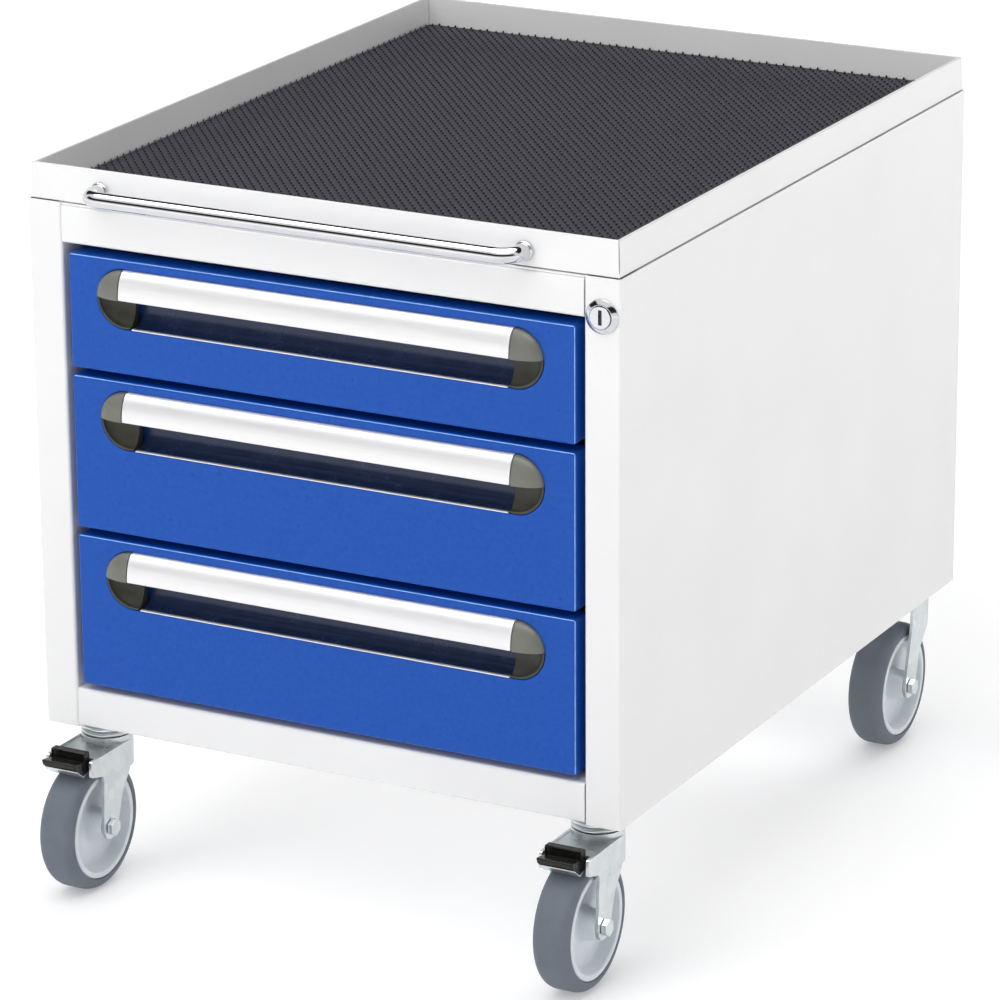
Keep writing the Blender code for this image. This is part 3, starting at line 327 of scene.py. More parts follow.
def paintRoom():
    # an even white room; bright metal also sees two dark bands, in front and behind
    world = bpy.data.worlds.new("room")
    bpy.context.scene.world = world
    world.use_nodes = True
    nodes, links = world.node_tree.nodes, world.node_tree.links
    back = nodes["Background"]
    place = nodes.new("ShaderNodeTexCoord")
    split = nodes.new("ShaderNodeSeparateXYZ")
    links.new(place.outputs["Generated"], split.inputs[0])
    bands = []
    for sign, (low, high) in ((-1, room["frontBand"]), (1, room["backBand"])):
        above = nodes.new("ShaderNodeMapRange")
        above.interpolation_type = "SMOOTHSTEP"
        above.inputs["From Min"].default_value = low - room["bandSoft"]
        above.inputs["From Max"].default_value = low + room["bandSoft"]
        links.new(split.outputs["Z"], above.inputs["Value"])
        below = nodes.new("ShaderNodeMapRange")
        below.interpolation_type = "SMOOTHSTEP"
        below.inputs["From Min"].default_value = high + room["bandSoft"]
        below.inputs["From Max"].default_value = high - room["bandSoft"]
        links.new(split.outputs["Z"], below.inputs["Value"])
        facing = nodes.new("ShaderNodeMapRange")
        facing.inputs["From Min"].default_value = sign * room["bandTurn"][0]
        facing.inputs["From Max"].default_value = sign * room["bandTurn"][1]
        links.new(split.outputs["Y"], facing.inputs["Value"])
        band = nodes.new("ShaderNodeMath")
        band.operation = "MULTIPLY"
        links.new(above.outputs["Result"], band.inputs[0])
        links.new(below.outputs["Result"], band.inputs[1])
        both = nodes.new("ShaderNodeMath")
        both.operation = "MULTIPLY"
        links.new(band.outputs[0], both.inputs[0])
        links.new(facing.outputs["Result"], both.inputs[1])
        bands.append(both)
    bandSum = nodes.new("ShaderNodeMath")
    bandSum.operation = "ADD"
    bandSum.use_clamp = True
    links.new(bands[0].outputs[0], bandSum.inputs[0])
    links.new(bands[1].outputs[0], bandSum.inputs[1])
    rays = nodes.new("ShaderNodeLightPath")
    seen = nodes.new("ShaderNodeMath")
    seen.operation = "MULTIPLY"
    links.new(bandSum.outputs[0], seen.inputs[0])
    links.new(rays.outputs["Is Glossy Ray"], seen.inputs[1])
    mix = nodes.new("ShaderNodeMix")
    mix.data_type = "RGBA"
    mix.inputs[6].default_value = (1, 1, 1, 1)
    mix.inputs[7].default_value = (*room["dusk"], 1)
    links.new(seen.outputs[0], mix.inputs["Factor"])
    links.new(mix.outputs[2], back.inputs["Color"])
    power = nodes.new("ShaderNodeMapRange")           # matt surfaces see a dimmer room
    power.inputs["To Min"].default_value = room["glow"]
    power.inputs["To Max"].default_value = room["fill"]
    links.new(rays.outputs["Is Diffuse Ray"], power.inputs["Value"])
    ceiling = nodes.new("ShaderNodeMapRange")         # a bright ceiling, for edges that face up
    ceiling.interpolation_type = "SMOOTHSTEP"
    ceiling.inputs["From Min"].default_value = room["ceilingFrom"] - room["ceilingSoft"]
    ceiling.inputs["From Max"].default_value = room["ceilingFrom"] + room["ceilingSoft"]
    ceiling.inputs["To Max"].default_value = room["ceiling"]
    links.new(split.outputs["Z"], ceiling.inputs["Value"])
    shine = nodes.new("ShaderNodeMath")
    shine.operation = "MULTIPLY_ADD"
    links.new(ceiling.outputs["Result"], shine.inputs[0])
    links.new(rays.outputs["Is Glossy Ray"], shine.inputs[1])
    links.new(power.outputs["Result"], shine.inputs[2])
    links.new(shine.outputs[0], back.inputs["Strength"])


stage = {"side": 30, "near": 1.4, "far": 4.0, "farGlow": 0.75}


def layFloor():
    # a plain floor that grows brighter away from the piece, like a lit studio sweep
    dropPick()
    bpy.ops.mesh.primitive_grid_add(x_subdivisions=8, y_subdivisions=8, size=stage["side"])
    floor = settle(nameIt(bpy.context.object, "studioFloor"))
    finish = finishes["floor"]
    nodes, links = finish.node_tree.nodes, finish.node_tree.links
    place = nodes.new("ShaderNodeTexCoord")
    reach = nodes.new("ShaderNodeVectorMath")
    reach.operation = "LENGTH"
    links.new(place.outputs["Object"], reach.inputs[0])
    glow = nodes.new("ShaderNodeMapRange")
    glow.interpolation_type = "SMOOTHSTEP"
    glow.inputs["From Min"].default_value = stage["near"]
    glow.inputs["From Max"].default_value = stage["far"]
    glow.inputs["To Min"].default_value = looks["floor"]["glow"]
    glow.inputs["To Max"].default_value = stage["farGlow"]
    links.new(reach.outputs["Value"], glow.inputs["Value"])
    links.new(glow.outputs["Result"], nodes["Principled BSDF"].inputs["Emission Strength"])
    floor.data.materials.append(finish)


bpy.context.scene.view_settings.view_transform = "Standard"
placeCamera()
hangSoftboxes()
paintRoom()
print("camera, softboxes and room ready")


# finishes: broad tone drift, fine grain and a little relief, all on object coordinates
looks = {
    "greyPaint": {"dark": (0.800, 0.800, 0.804), "light": (0.850, 0.850, 0.853), "rough": (0.36, 0.46),
                  "broad": 9, "fine": 900, "relief": 0.00003, "ior": 1.5, "coat": 0.15},
    "bluePaint": {"dark": (0.002, 0.066, 0.37), "light": (0.006, 0.086, 0.455),
                  "rough": (0.26, 0.38), "broad": 260, "fine": 1100, "relief": 0.00004, "ior": 1.34},
    # painted highlight for the drawer fronts' top and right bends
    "bluePaintedHighlight": {"dark": (0.13, 0.30, 0.74), "light": (0.30, 0.50, 0.92), "rough": (0.20, 0.30),
                 "broad": 120, "fine": 900, "relief": 0.00002, "ior": 1.45},
    "matRubber": {"dark": (0.005, 0.005, 0.008), "light": (0.016, 0.016, 0.024), "rough": (0.50, 0.66),
                  "broad": 160, "fine": 1600, "relief": 0.00006, "ior": 1.36,
                  # the knob tops get a painted highlight, lighter than the sheet
                  "paintedHighlightHeight": (0.5364, 0.5372), "paintedHighlightTone": (0.085, 0.086, 0.108)},
    "brushedAluminium": {"dark": (0.80, 0.80, 0.81), "light": (0.90, 0.90, 0.905),
                         "rough": (0.34, 0.46), "broad": 14, "fine": 600, "relief": 0.000015,
                         "stretch": (0.03, 1, 1), "metal": 0.55},
    "capPlastic": {"dark": (0.135, 0.140, 0.118), "light": (0.185, 0.190, 0.163),
                   "rough": (0.34, 0.46), "broad": 70, "fine": 1500, "relief": 0.00004, "ior": 1.46},
    # the cap plastic again, darker: painted shade for the concave scoop
    "capPlasticPaintedShade": {"dark": (0.026, 0.026, 0.019), "light": (0.055, 0.055, 0.042),
                     "rough": (0.40, 0.52), "broad": 70, "fine": 1500, "relief": 0.00004, "ior": 1.46},
    "brightChrome": {"dark": (0.62, 0.63, 0.655), "light": (0.72, 0.725, 0.745), "rough": (0.04, 0.09),
                     "broad": 30, "fine": 700, "relief": 0.000004, "metal": 1.0},
    "zincPlate": {"dark": (0.58, 0.62, 0.635), "light": (0.72, 0.76, 0.765), "rough": (0.27, 0.38),
                  "broad": 60, "fine": 520, "relief": 0.00003, "metal": 1.0, "spangle": 130},
    "boxSteel": {"dark": (0.60, 0.605, 0.615), "light": (0.655, 0.66, 0.67), "rough": (0.40, 0.46),
                 "broad": 24, "fine": 420, "relief": 0.00002, "metal": 1.0, "spangle": 70},
    "wheelNylon": {"dark": (0.62, 0.67, 0.715), "light": (0.74, 0.78, 0.815), "rough": (0.36, 0.48),
                   "broad": 45, "fine": 1200, "relief": 0.00004, "ior": 1.5},
    "tyreRubber": {"dark": (0.110, 0.130, 0.160), "light": (0.150, 0.172, 0.205),
                   "rough": (0.55, 0.72), "broad": 55, "fine": 1400, "relief": 0.00008, "ior": 1.5},
    "pedalPlastic": {"dark": (0.004, 0.004, 0.003), "light": (0.012, 0.012, 0.010),
                     "rough": (0.22, 0.36), "broad": 90, "fine": 1300, "relief": 0.00005, "ior": 1.33},
    # dark navy: painted shade for the grip pocket's back
    "troughPaintedShade": {"dark": (0.010, 0.020, 0.062), "light": (0.018, 0.034, 0.095),
                   "rough": (0.20, 0.30), "broad": 60, "fine": 900, "relief": 0.00002, "ior": 1.45},
    # near black: painted shade for the keyway slot
    "keywayPaintedShade": {"dark": (0.008, 0.008, 0.008), "light": (0.030, 0.030, 0.032),
                   "rough": (0.5, 0.6), "broad": 200, "fine": 1500, "relief": 0.00002, "ior": 1.5},
    "floor": {"dark": (0.90, 0.90, 0.905), "light": (0.94, 0.94, 0.945), "rough": (0.85, 0.95),
              "broad": 2, "fine": 200, "relief": 0.00002, "ior": 1.4, "glow": 0.22},
}
finishes = {}
mixing = {"grainShare": 0.35, "spangleShare": 0.25, "low": 0.30, "high": 0.70, "coatRough": 0.18}


def mixFinish(name, look):
    finish = bpy.data.materials.new(name)
    finish.use_nodes = True
    nodes, links = finish.node_tree.nodes, finish.node_tree.links
    shader = nodes["Principled BSDF"]
    shader.inputs["Metallic"].default_value = look.get("metal", 0.0)
    shader.inputs["IOR"].default_value = look.get("ior", 1.5)
    if "coat" in look:
        shader.inputs["Coat Weight"].default_value = look["coat"]
        shader.inputs["Coat Roughness"].default_value = mixing["coatRough"]
    if "glow" in look:
        shader.inputs["Emission Color"].default_value = (1, 1, 1, 1)
        shader.inputs["Emission Strength"].default_value = look["glow"]
    place = nodes.new("ShaderNodeTexCoord")
    scale = nodes.new("ShaderNodeMapping")
    scale.inputs["Scale"].default_value = look.get("stretch", (1, 1, 1))
    links.new(place.outputs["Object"], scale.inputs["Vector"])
    drift = nodes.new("ShaderNodeTexNoise")
    drift.inputs["Scale"].default_value = look["broad"]
    drift.inputs["Detail"].default_value = 4
    grain = nodes.new("ShaderNodeTexNoise")
    grain.inputs["Scale"].default_value = look["fine"]
    grain.inputs["Detail"].default_value = 3
    for noise in (drift, grain):
        links.new(scale.outputs["Vector"], noise.inputs["Vector"])
    tone = nodes.new("ShaderNodeMix")                 # drift with a share of grain
    tone.data_type = "FLOAT"
    tone.inputs["Factor"].default_value = mixing["grainShare"]
    links.new(drift.outputs["Fac"], tone.inputs[2])
    links.new(grain.outputs["Fac"], tone.inputs[3])
    value = tone.outputs[0]
    if "spangle" in look:                             # crystals of the zinc coat
        crystal = nodes.new("ShaderNodeTexVoronoi")
        crystal.inputs["Scale"].default_value = look["spangle"]
        links.new(scale.outputs["Vector"], crystal.inputs["Vector"])
        shade = nodes.new("ShaderNodeSeparateColor")
        links.new(crystal.outputs["Color"], shade.inputs[0])
        blend = nodes.new("ShaderNodeMix")
        blend.data_type = "FLOAT"
        blend.inputs["Factor"].default_value = mixing["spangleShare"]
        links.new(value, blend.inputs[2])
        links.new(shade.outputs[0], blend.inputs[3])
        value = blend.outputs[0]
    ramp = nodes.new("ShaderNodeValToRGB")
    ramp.color_ramp.elements[0].position = mixing["low"]
    ramp.color_ramp.elements[0].color = (*look["dark"], 1)
    ramp.color_ramp.elements[1].position = mixing["high"]
    ramp.color_ramp.elements[1].color = (*look["light"], 1)
    links.new(value, ramp.inputs["Fac"])
    links.new(ramp.outputs["Color"], shader.inputs["Base Color"])
    if "paintedHighlightHeight" in look:                                 # knob tops painted lighter: a painted highlight where light catches them
        height = nodes.new("ShaderNodeSeparateXYZ")
        links.new(place.outputs["Object"], height.inputs[0])
        highlightMask = nodes.new("ShaderNodeMapRange")
        highlightMask.inputs["From Min"].default_value, highlightMask.inputs["From Max"].default_value = look["paintedHighlightHeight"]
        links.new(height.outputs["Z"], highlightMask.inputs["Value"])
        colour = nodes.new("ShaderNodeMix")
        colour.data_type = "RGBA"
        colour.inputs[7].default_value = (*look["paintedHighlightTone"], 1)
        links.new(highlightMask.outputs["Result"], colour.inputs["Factor"])
        links.new(ramp.outputs["Color"], colour.inputs[6])
        links.new(colour.outputs[2], shader.inputs["Base Color"])
    polish = nodes.new("ShaderNodeMapRange")
    polish.inputs["From Min"].default_value = mixing["low"]
    polish.inputs["From Max"].default_value = mixing["high"]
    polish.inputs["To Min"].default_value = look["rough"][0]
    polish.inputs["To Max"].default_value = look["rough"][1]
    links.new(value, polish.inputs["Value"])
    links.new(polish.outputs["Result"], shader.inputs["Roughness"])
    relief = nodes.new("ShaderNodeBump")
    relief.inputs["Distance"].default_value = look["relief"]
    relief.inputs["Strength"].default_value = 1.0
    links.new(grain.outputs["Fac"], relief.inputs["Height"])
    links.new(relief.outputs["Normal"], shader.inputs["Normal"])
    finishes[name] = finish
    return finish


for finishName, finishLook in looks.items():
    mixFinish(finishName, finishLook)
layFloor()
print("finishes mixed:", len(finishes))


# tray with a hemmed rim and open corner seams
tray = {"hem": 0.0025, "lean": 0.0010, "floor": 0.0015, "rimRound": 0.0011, "footRound": 0.0012,
        "seam": 0.0007, "seamFoot": 0.0035, "seamLength": 0.016}


def foldTray():
    low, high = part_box("tray_pan")
    size = high - low
    pan = startBlock("trayPan", low, high)
    editOpen(pan)
    pickFaces(pan, lambda c, n: n.z > 0.9)
    bpy.ops.transform.resize(value=(1 - 2 * tray["lean"] / size.x, 1 - 2 * tray["lean"] / size.y, 1),
                             center_override=(low + high) / 2)
    bpy.ops.mesh.inset(thickness=tray["hem"], use_even_offset=True)
    bpy.ops.mesh.extrude_region_move(TRANSFORM_OT_translate={"value": (0, 0, tray["floor"] - size.z)})
    bpy.ops.mesh.select_mode(type="EDGE")
    pickEdges(pan, lambda a, b: abs(a.z - high.z) < hair and abs(b.z - high.z) < hair)
    bpy.ops.mesh.bevel(offset=tray["rimRound"], segments=4, affect="EDGES")
    pickEdges(pan, lambda a, b: abs(a.z - low.z) < hair and abs(b.z - low.z) < hair)
    bpy.ops.mesh.bevel(offset=tray["footRound"], segments=3, affect="EDGES")
    editDone()
    for x in (low.x, high.x):
        for y in (low.y, high.y):
            dropPick()
            turn = math.radians(45 if (x > 0) == (y < 0) else -45)
            bpy.ops.mesh.primitive_cube_add(size=1, rotation=(0, 0, turn),
                                            location=(x, y, low.z + tray["seamFoot"] + size.z / 2),
                                            scale=(tray["seam"], tray["seamLength"], size.z))
            carve(pan, settle(nameIt(bpy.context.object, "seam")))
    smoothOff(pan, 40)
    fit(pan, "cabinet", "greyPaint", "light_grey_paint", "tray_pan")


# rubber mat: slanting rows of small knobs on a thin sheet
mat = {"sheet": 0.0022, "cell": (0.0148, 0.0176), "knob": (0.0015, 0.00085), "slant": -50,
       "shoulder": 0.55, "topShare": 0.5, "edge": 0.0004}


def layMat():
    low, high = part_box("rubber_mat")
    base = startBlock("matSheet", low, (high.x, high.y, low.z + mat["sheet"]))
    soften(base, mat["edge"], 2)
    fit(base, "cabinet", "matRubber", "rubber_mat", "rubber_mat")
    cellX, cellY = mat["cell"]
    bottom = low.z + mat["sheet"] - 0.0001
    shoulder = (high.z - bottom) * mat["shoulder"]
    dropPick()
    bpy.ops.mesh.primitive_cylinder_add(vertices=8, radius=1, depth=shoulder,
                                        location=(0, 0, bottom + shoulder / 2),
                                        rotation=(0, 0, math.radians(mat["slant"])),
                                        scale=(mat["knob"][0], mat["knob"][1], 1))
    knob = settle(nameIt(bpy.context.object, "knob"))
    editOpen(knob)
    pickFaces(knob, lambda c, n: n.z > 0.9)
    bpy.ops.mesh.extrude_region_move(
        TRANSFORM_OT_translate={"value": (0, 0, high.z - bottom - shoulder)})
    bpy.ops.transform.resize(value=(mat["topShare"], mat["topShare"], 1), center_override=(0, 0, 0))
    editDone()
    knobs = []
    for row in range(2):                              # two staggered rows of three in a cell
        for along in range(3):
            x = cellX * ((along + row) / 3 % 1)
            y = cellY * ((row / 6 - along / 3) % 1)
            knobs.append(twin(knob, "knob", (low.x + x, low.y + y, 0)))
    bpy.data.objects.remove(knob, do_unlink=True)
    field = nameIt(weld(*knobs), "matKnobsFront")
    rows = math.ceil((high.y - low.y) / cellY / 2)
    columns = math.ceil((high.x - low.x) / cellX)
    for count, step in ((columns, (cellX, 0, 0)), (rows, (0, cellY, 0))):
        repeat = field.modifiers.new("repeat", "ARRAY")
        repeat.count = count
        repeat.use_relative_offset = False
        repeat.use_constant_offset = True
        repeat.constant_offset_displace = step
    useModifiers(field)
    rear = twin(field, "matKnobsRear", (0, rows * cellY, 0))
    trim = mat["edge"]
    for piece in (field, rear):
        editOpen(piece)
        for point, way in (((low.x + trim, 0, 0), (-1, 0, 0)), ((high.x - trim, 0, 0), (1, 0, 0)),
                           ((0, low.y + trim, 0), (0, -1, 0)), ((0, high.y - trim, 0), (0, 1, 0))):
            bpy.ops.mesh.select_all(action="SELECT")
            bpy.ops.mesh.bisect(plane_co=point, plane_no=way, clear_outer=True, use_fill=True)
        editDone()
        fit(piece, "cabinet", "matRubber", "rubber_mat")


# push handle: one bent bar on two round feet
handle = {"radius": 0.006, "foot": 0.0072, "footThick": 0.002, "bend": 0.012,
          "bendSteps": 14, "sides": 40, "intoWall": 0.0005}


def bendHandle():
    low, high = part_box("push_handle")
    left = low.x + handle["foot"]
    right = high.x - handle["foot"]
    z = (low.z + high.z) / 2
    barY = low.y + handle["radius"]
    wall = high.y
    start = wall - handle["intoWall"]
    bend, steps = handle["bend"], handle["bendSteps"]
    dropPick()
    bpy.ops.mesh.primitive_circle_add(vertices=handle["sides"], radius=handle["radius"],
                                      fill_type="NGON", location=(left, start, z),
                                      rotation=(math.radians(90), 0, 0))
    bar = settle(nameIt(bpy.context.object, "pushHandle"))
    editOpen(bar)
    bpy.ops.mesh.select_all(action="SELECT")
    bpy.ops.mesh.extrude_region_move(TRANSFORM_OT_translate={"value": (0, barY + bend - start, 0)})
    bpy.ops.mesh.spin(steps=steps, angle=math.radians(-90), center=(left + bend, barY + bend, z),
                      axis=(0, 0, 1))
    bpy.ops.mesh.extrude_region_move(TRANSFORM_OT_translate={"value": (right - left - 2 * bend, 0, 0)})
    bpy.ops.mesh.spin(steps=steps, angle=math.radians(-90), center=(right - bend, barY + bend, z),
                      axis=(0, 0, 1))
    bpy.ops.mesh.extrude_region_move(TRANSFORM_OT_translate={"value": (0, start - barY - bend, 0)})
    bpy.ops.mesh.select_all(action="SELECT")
    bpy.ops.mesh.normals_make_consistent(inside=False)
    editDone()
    feet = []
    for x in (left, right):
        r, t = handle["foot"], handle["footThick"]
        outline = [(x, wall, z), (x, wall, z + r), (x, wall - t * 0.45, z + r),
                   (x, wall - t * 0.75, z + r - 0.0003), (x, wall - t * 0.95, z + r - 0.0008),
                   (x, wall - t, z + r - 0.0014), (x, wall - t, z)]
        feet.append(turnedSolid("foot", outline, (x, wall, z), (0, 1, 0), handle["sides"]))
    weld(bar, *feet)
    smoothOff(bar, 35)
    fit(bar, "cabinet", "brightChrome", "chrome", "push_handle")


foldTray()
layMat()
bendHandle()
print("tray, mat and handle done")


# drawer fronts with a slot-shaped pocket
front = {"round": 0.0026, "roundSteps": 5, "skin": 0.0015, "mouth": 0.0009, "edgeMargin": 0.004}
grip = {"height": 0.045, "below": 0.007, "pocket": 0.0175, "wall": 0.0012, "lip": 0.0205,
        "proud": 0.009, "sheet": 0.0020, "capGap": 0.0006, "sill": 0.0011, "scoop": 0.0095,
        "scoopWall": 0.0014, "scoopReach": 0.005, "troughBend": 0.0105}


def slotBlock(name, length, height, z, near, far):
    # a round plate pulled out to a slot, then pushed back from near to far
    dropPick()
    bpy.ops.mesh.primitive_circle_add(vertices=64, radius=height / 2, fill_type="NGON",
                                      location=(0, near, z),
                                      rotation=(math.radians(90), math.radians(180 / 64), 0))
    plate = settle(nameIt(bpy.context.object, name))
    reach = (length - height) / 2
    for side in (-1, 1):
        editOpen(plate, "VERT")
        pickPoints(plate, lambda p: p.x * side > hair)
        bpy.ops.transform.translate(value=(side * reach, 0, 0))
        editDone()
    editOpen(plate)
    bpy.ops.mesh.select_all(action="SELECT")
    bpy.ops.mesh.extrude_region_move(TRANSFORM_OT_translate={"value": (0, far - near, 0)})
    bpy.ops.mesh.select_all(action="SELECT")
    bpy.ops.mesh.normals_make_consistent(inside=False)
    editDone()
    return plate


def slotLength(drawer):
    return 2 * (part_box(drawer + "_grip_cap_right")[1].x + grip["capGap"])


def slotCentre(drawer):
    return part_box(drawer + "_drawer_front")[1].z - grip["below"] - grip["height"] / 2


def foldFront(drawer):
    low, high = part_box(drawer + "_drawer_front")
    face = low.y
    panel = startBlock(drawer + "Front", low, high)
    editOpen(panel, "EDGE")
    pickEdges(panel, lambda a, b: a.y < face + hair or b.y < face + hair)
    bpy.ops.mesh.bevel(offset=front["round"], segments=front["roundSteps"], affect="EDGES")
    editDone()
    skin = front["skin"]
    carve(panel, startBlock("hollow", (low.x + skin, face + skin, low.z + skin),
                            (high.x - skin, high.y + 0.01, high.z - skin)))
    z = slotCentre(drawer)
    length = slotLength(drawer)
    wall = 2 * grip["wall"]
    carve(panel, slotBlock("pocket", length + wall, grip["height"] + wall, z,
                           face + skin - 0.0004, face + grip["pocket"]), "UNION")
    carve(panel, slotBlock("opening", length, grip["height"], z, face - 0.01,
                           face + grip["pocket"] - grip["wall"]))
    editOpen(panel, "EDGE")
    half = grip["height"] / 2
    pickEdges(panel, lambda a, b: abs(a.y - face) < hair and abs(b.y - face) < hair
              and max(abs(a.z - z), abs(b.z - z)) < half + hair
              and max(abs(a.x), abs(b.x)) < length / 2 + hair)
    bpy.ops.mesh.bevel(offset=front["mouth"], segments=3, affect="EDGES")
    editDone()
    smoothOff(panel, 35)
    fit(panel, drawer + "_drawer", "bluePaint", "blue_paint", drawer + "_drawer_front")
    panel.data.materials.append(finishes["bluePaintedHighlight"])     # painted highlight: a lighter, glossier blue on the top and right bends, where the light catches
    # faces on the top and right bends, away from the pocket, take the painted highlight
    for plane in panel.data.polygons:
        away = max(abs(plane.center.z - z) - half, abs(plane.center.x) - length / 2)
        bend = abs(plane.normal.y + math.sqrt(0.5)) < 0.1      # the middle strip of the bend
        if away > front["edgeMargin"] and bend and max(plane.normal.x, plane.normal.z) > 0.6:
            plane.material_index = 1


def drawLip(drawer):
    # an extruded strip: a flange in the pocket and a lip that curves out and down
    low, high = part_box(drawer + "_grip_profile")
    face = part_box(drawer + "_drawer_front")[0].y
    top, thick = high.z, grip["sheet"]
    steps = 22
    outside, inside = [], []
    for step in range(steps + 1):
        turn = math.radians(90 * step / steps)
        outside.append((low.x, face - grip["proud"] * math.sin(turn),
                        top - grip["lip"] * (1 - math.cos(turn))))
        inside.append((low.x, face - (grip["proud"] - thick) * math.sin(turn),
                       top - (grip["lip"] - thick * 1.3) * (1 - math.cos(turn)) - thick))
    outline = [(low.x, high.y, top - thick), (low.x, high.y, top)] + outside + inside[::-1]
    lip = drawnSolid(drawer + "GripLip", outline, (high.x - low.x, 0, 0))
    soften(lip, 0.00035, 2, 50)
    fit(lip, drawer + "_drawer", "brushedAluminium", "aluminium", drawer + "_grip_profile")
    z = slotCentre(drawer) - grip["height"] / 2
    reach = high.x - grip["scoopReach"] - 0.0004
    sill = startBlock(drawer + "GripSill", (-reach, face - 0.0004, z + 0.0001),
                      (reach, face + grip["pocket"] - 2 * grip["wall"], z + grip["sill"]))
    soften(sill, 0.0004, 3)
    fit(sill, drawer + "_drawer", "brushedAluminium", "aluminium")


def drawTrough(drawer):
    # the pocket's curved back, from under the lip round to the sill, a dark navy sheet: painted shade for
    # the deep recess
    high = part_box(drawer + "_grip_profile")[1]
    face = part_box(drawer + "_drawer_front")[0].y
    z = slotCentre(drawer) - grip["height"] / 2
    back = face + grip["pocket"] - grip["wall"] - 0.0006
    reach = high.x - grip["scoopReach"] - 0.0004
    bend = grip["troughBend"]
    path = [(-reach, back, high.z - grip["sheet"] - 0.0006), (-reach, back, z + bend + 0.0008)]
    for step in range(1, 13):
        turn = math.radians(90 * step / 12)
        path.append((-reach, back - bend * (1 - math.cos(turn)),
                     z + 0.0016 + bend * (1 - math.sin(turn))))
    path.append((-reach, face + 0.0018, z + 0.0014))
    outline = path + [(x, y + 0.0003, height - 0.0003) for x, y, height in reversed(path)]
    trough = drawnSolid(drawer + "GripShadeTrough", outline, (2 * reach, 0, 0))
    smoothOff(trough, 35)
    fit(trough, drawer + "_drawer", "troughPaintedShade", "blue_paint")


def halfAway(piece, point, way):
    editOpen(piece)
    bpy.ops.mesh.select_all(action="SELECT")
    bpy.ops.mesh.bisect(plane_co=point, plane_no=way, clear_outer=True, use_fill=True)
    editDone()


def mouldCap(drawer, word, side):
    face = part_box(drawer + "_drawer_front")[0].y
    z = slotCentre(drawer)
    r = grip["height"] / 2 - grip["capGap"]
    x = side * (slotLength(drawer) / 2 - grip["height"] / 2 + 0.0003)
    split = z + r - grip["lip"]
    name = drawer + "GripCap" + word.capitalize()
    crown = startBall(name, (x, face, split), (r, grip["proud"], grip["lip"]), 64, 40)
    halfAway(crown, (x, 0, 0), (-side, 0, 0))
    halfAway(crown, (0, 0, split), (0, 0, -1))
    halfAway(crown, (0, face, 0), (0, 1, 0))
    editOpen(crown)
    pickFaces(crown, lambda c, n: n.y > 0.9)
    bpy.ops.mesh.extrude_region_move(TRANSFORM_OT_translate={"value": (0, 0.003, 0)})
    editDone()
    soften(crown, 0.00025, 2, 50)
    fit(crown, drawer + "_drawer", "capPlastic", "grip_plastic",
        f"{drawer}_grip_cap_{word}")
    bowl = startRod(name + "Scoop", r, (x, face - 0.0002, z), (x, face + 0.0128, z), 96)
    halfAway(bowl, (0, 0, split - 0.0002), (0, 0, 1))
    halfAway(bowl, (x - side * grip["scoopReach"], 0, 0), (-side, 0, 0))
    wall = grip["scoopWall"]
    carve(bowl, startBall("scoop", (x - side * 0.002, face - 0.0004, z),
                          (r + 0.002 - wall, grip["scoop"], r - wall), 72, 48))
    soften(bowl, 0.0003, 2, 50)
    # the scoop takes the darker copy of the cap plastic: painted shade in the hollow
    fit(bowl, drawer + "_drawer", "capPlasticPaintedShade", "grip_plastic")


for drawer in ("upper", "centre", "lower"):
    foldFront(drawer)
    drawLip(drawer)
    drawTrough(drawer)
    mouldCap(drawer, "left", -1)
    mouldCap(drawer, "right", 1)
    tub = soften(copyNode(drawer + "_drawer_box", drawer + "Box"), 0.0003, 2)
    fit(tub, drawer + "_drawer", "boxSteel", "box_steel", drawer + "_drawer_box")
    for word in ("left", "right"):
        for kind, body in (("outer", "cabinet"), ("middle", drawer + "_middle_rails")):
            node = f"{drawer}_{kind}_rail_{word}"
            rail = soften(copyNode(node, f"{drawer}{kind.capitalize()}Rail{word.capitalize()}"),
                          0.0003, 2)
            fit(rail, body, "zincPlate", "zinc", node)
    print(drawer, "drawer done")


# lock: a round rose and the plug with its keyway
lock = {"rose": 0.0126, "thick": 0.003, "bore": 0.00795, "barrel": 0.0098, "lead": 0.0009,
        "keyway": (0.00275, 0.01075), "keywayDeep": 0.0045, "wardDeep": 0.0020}


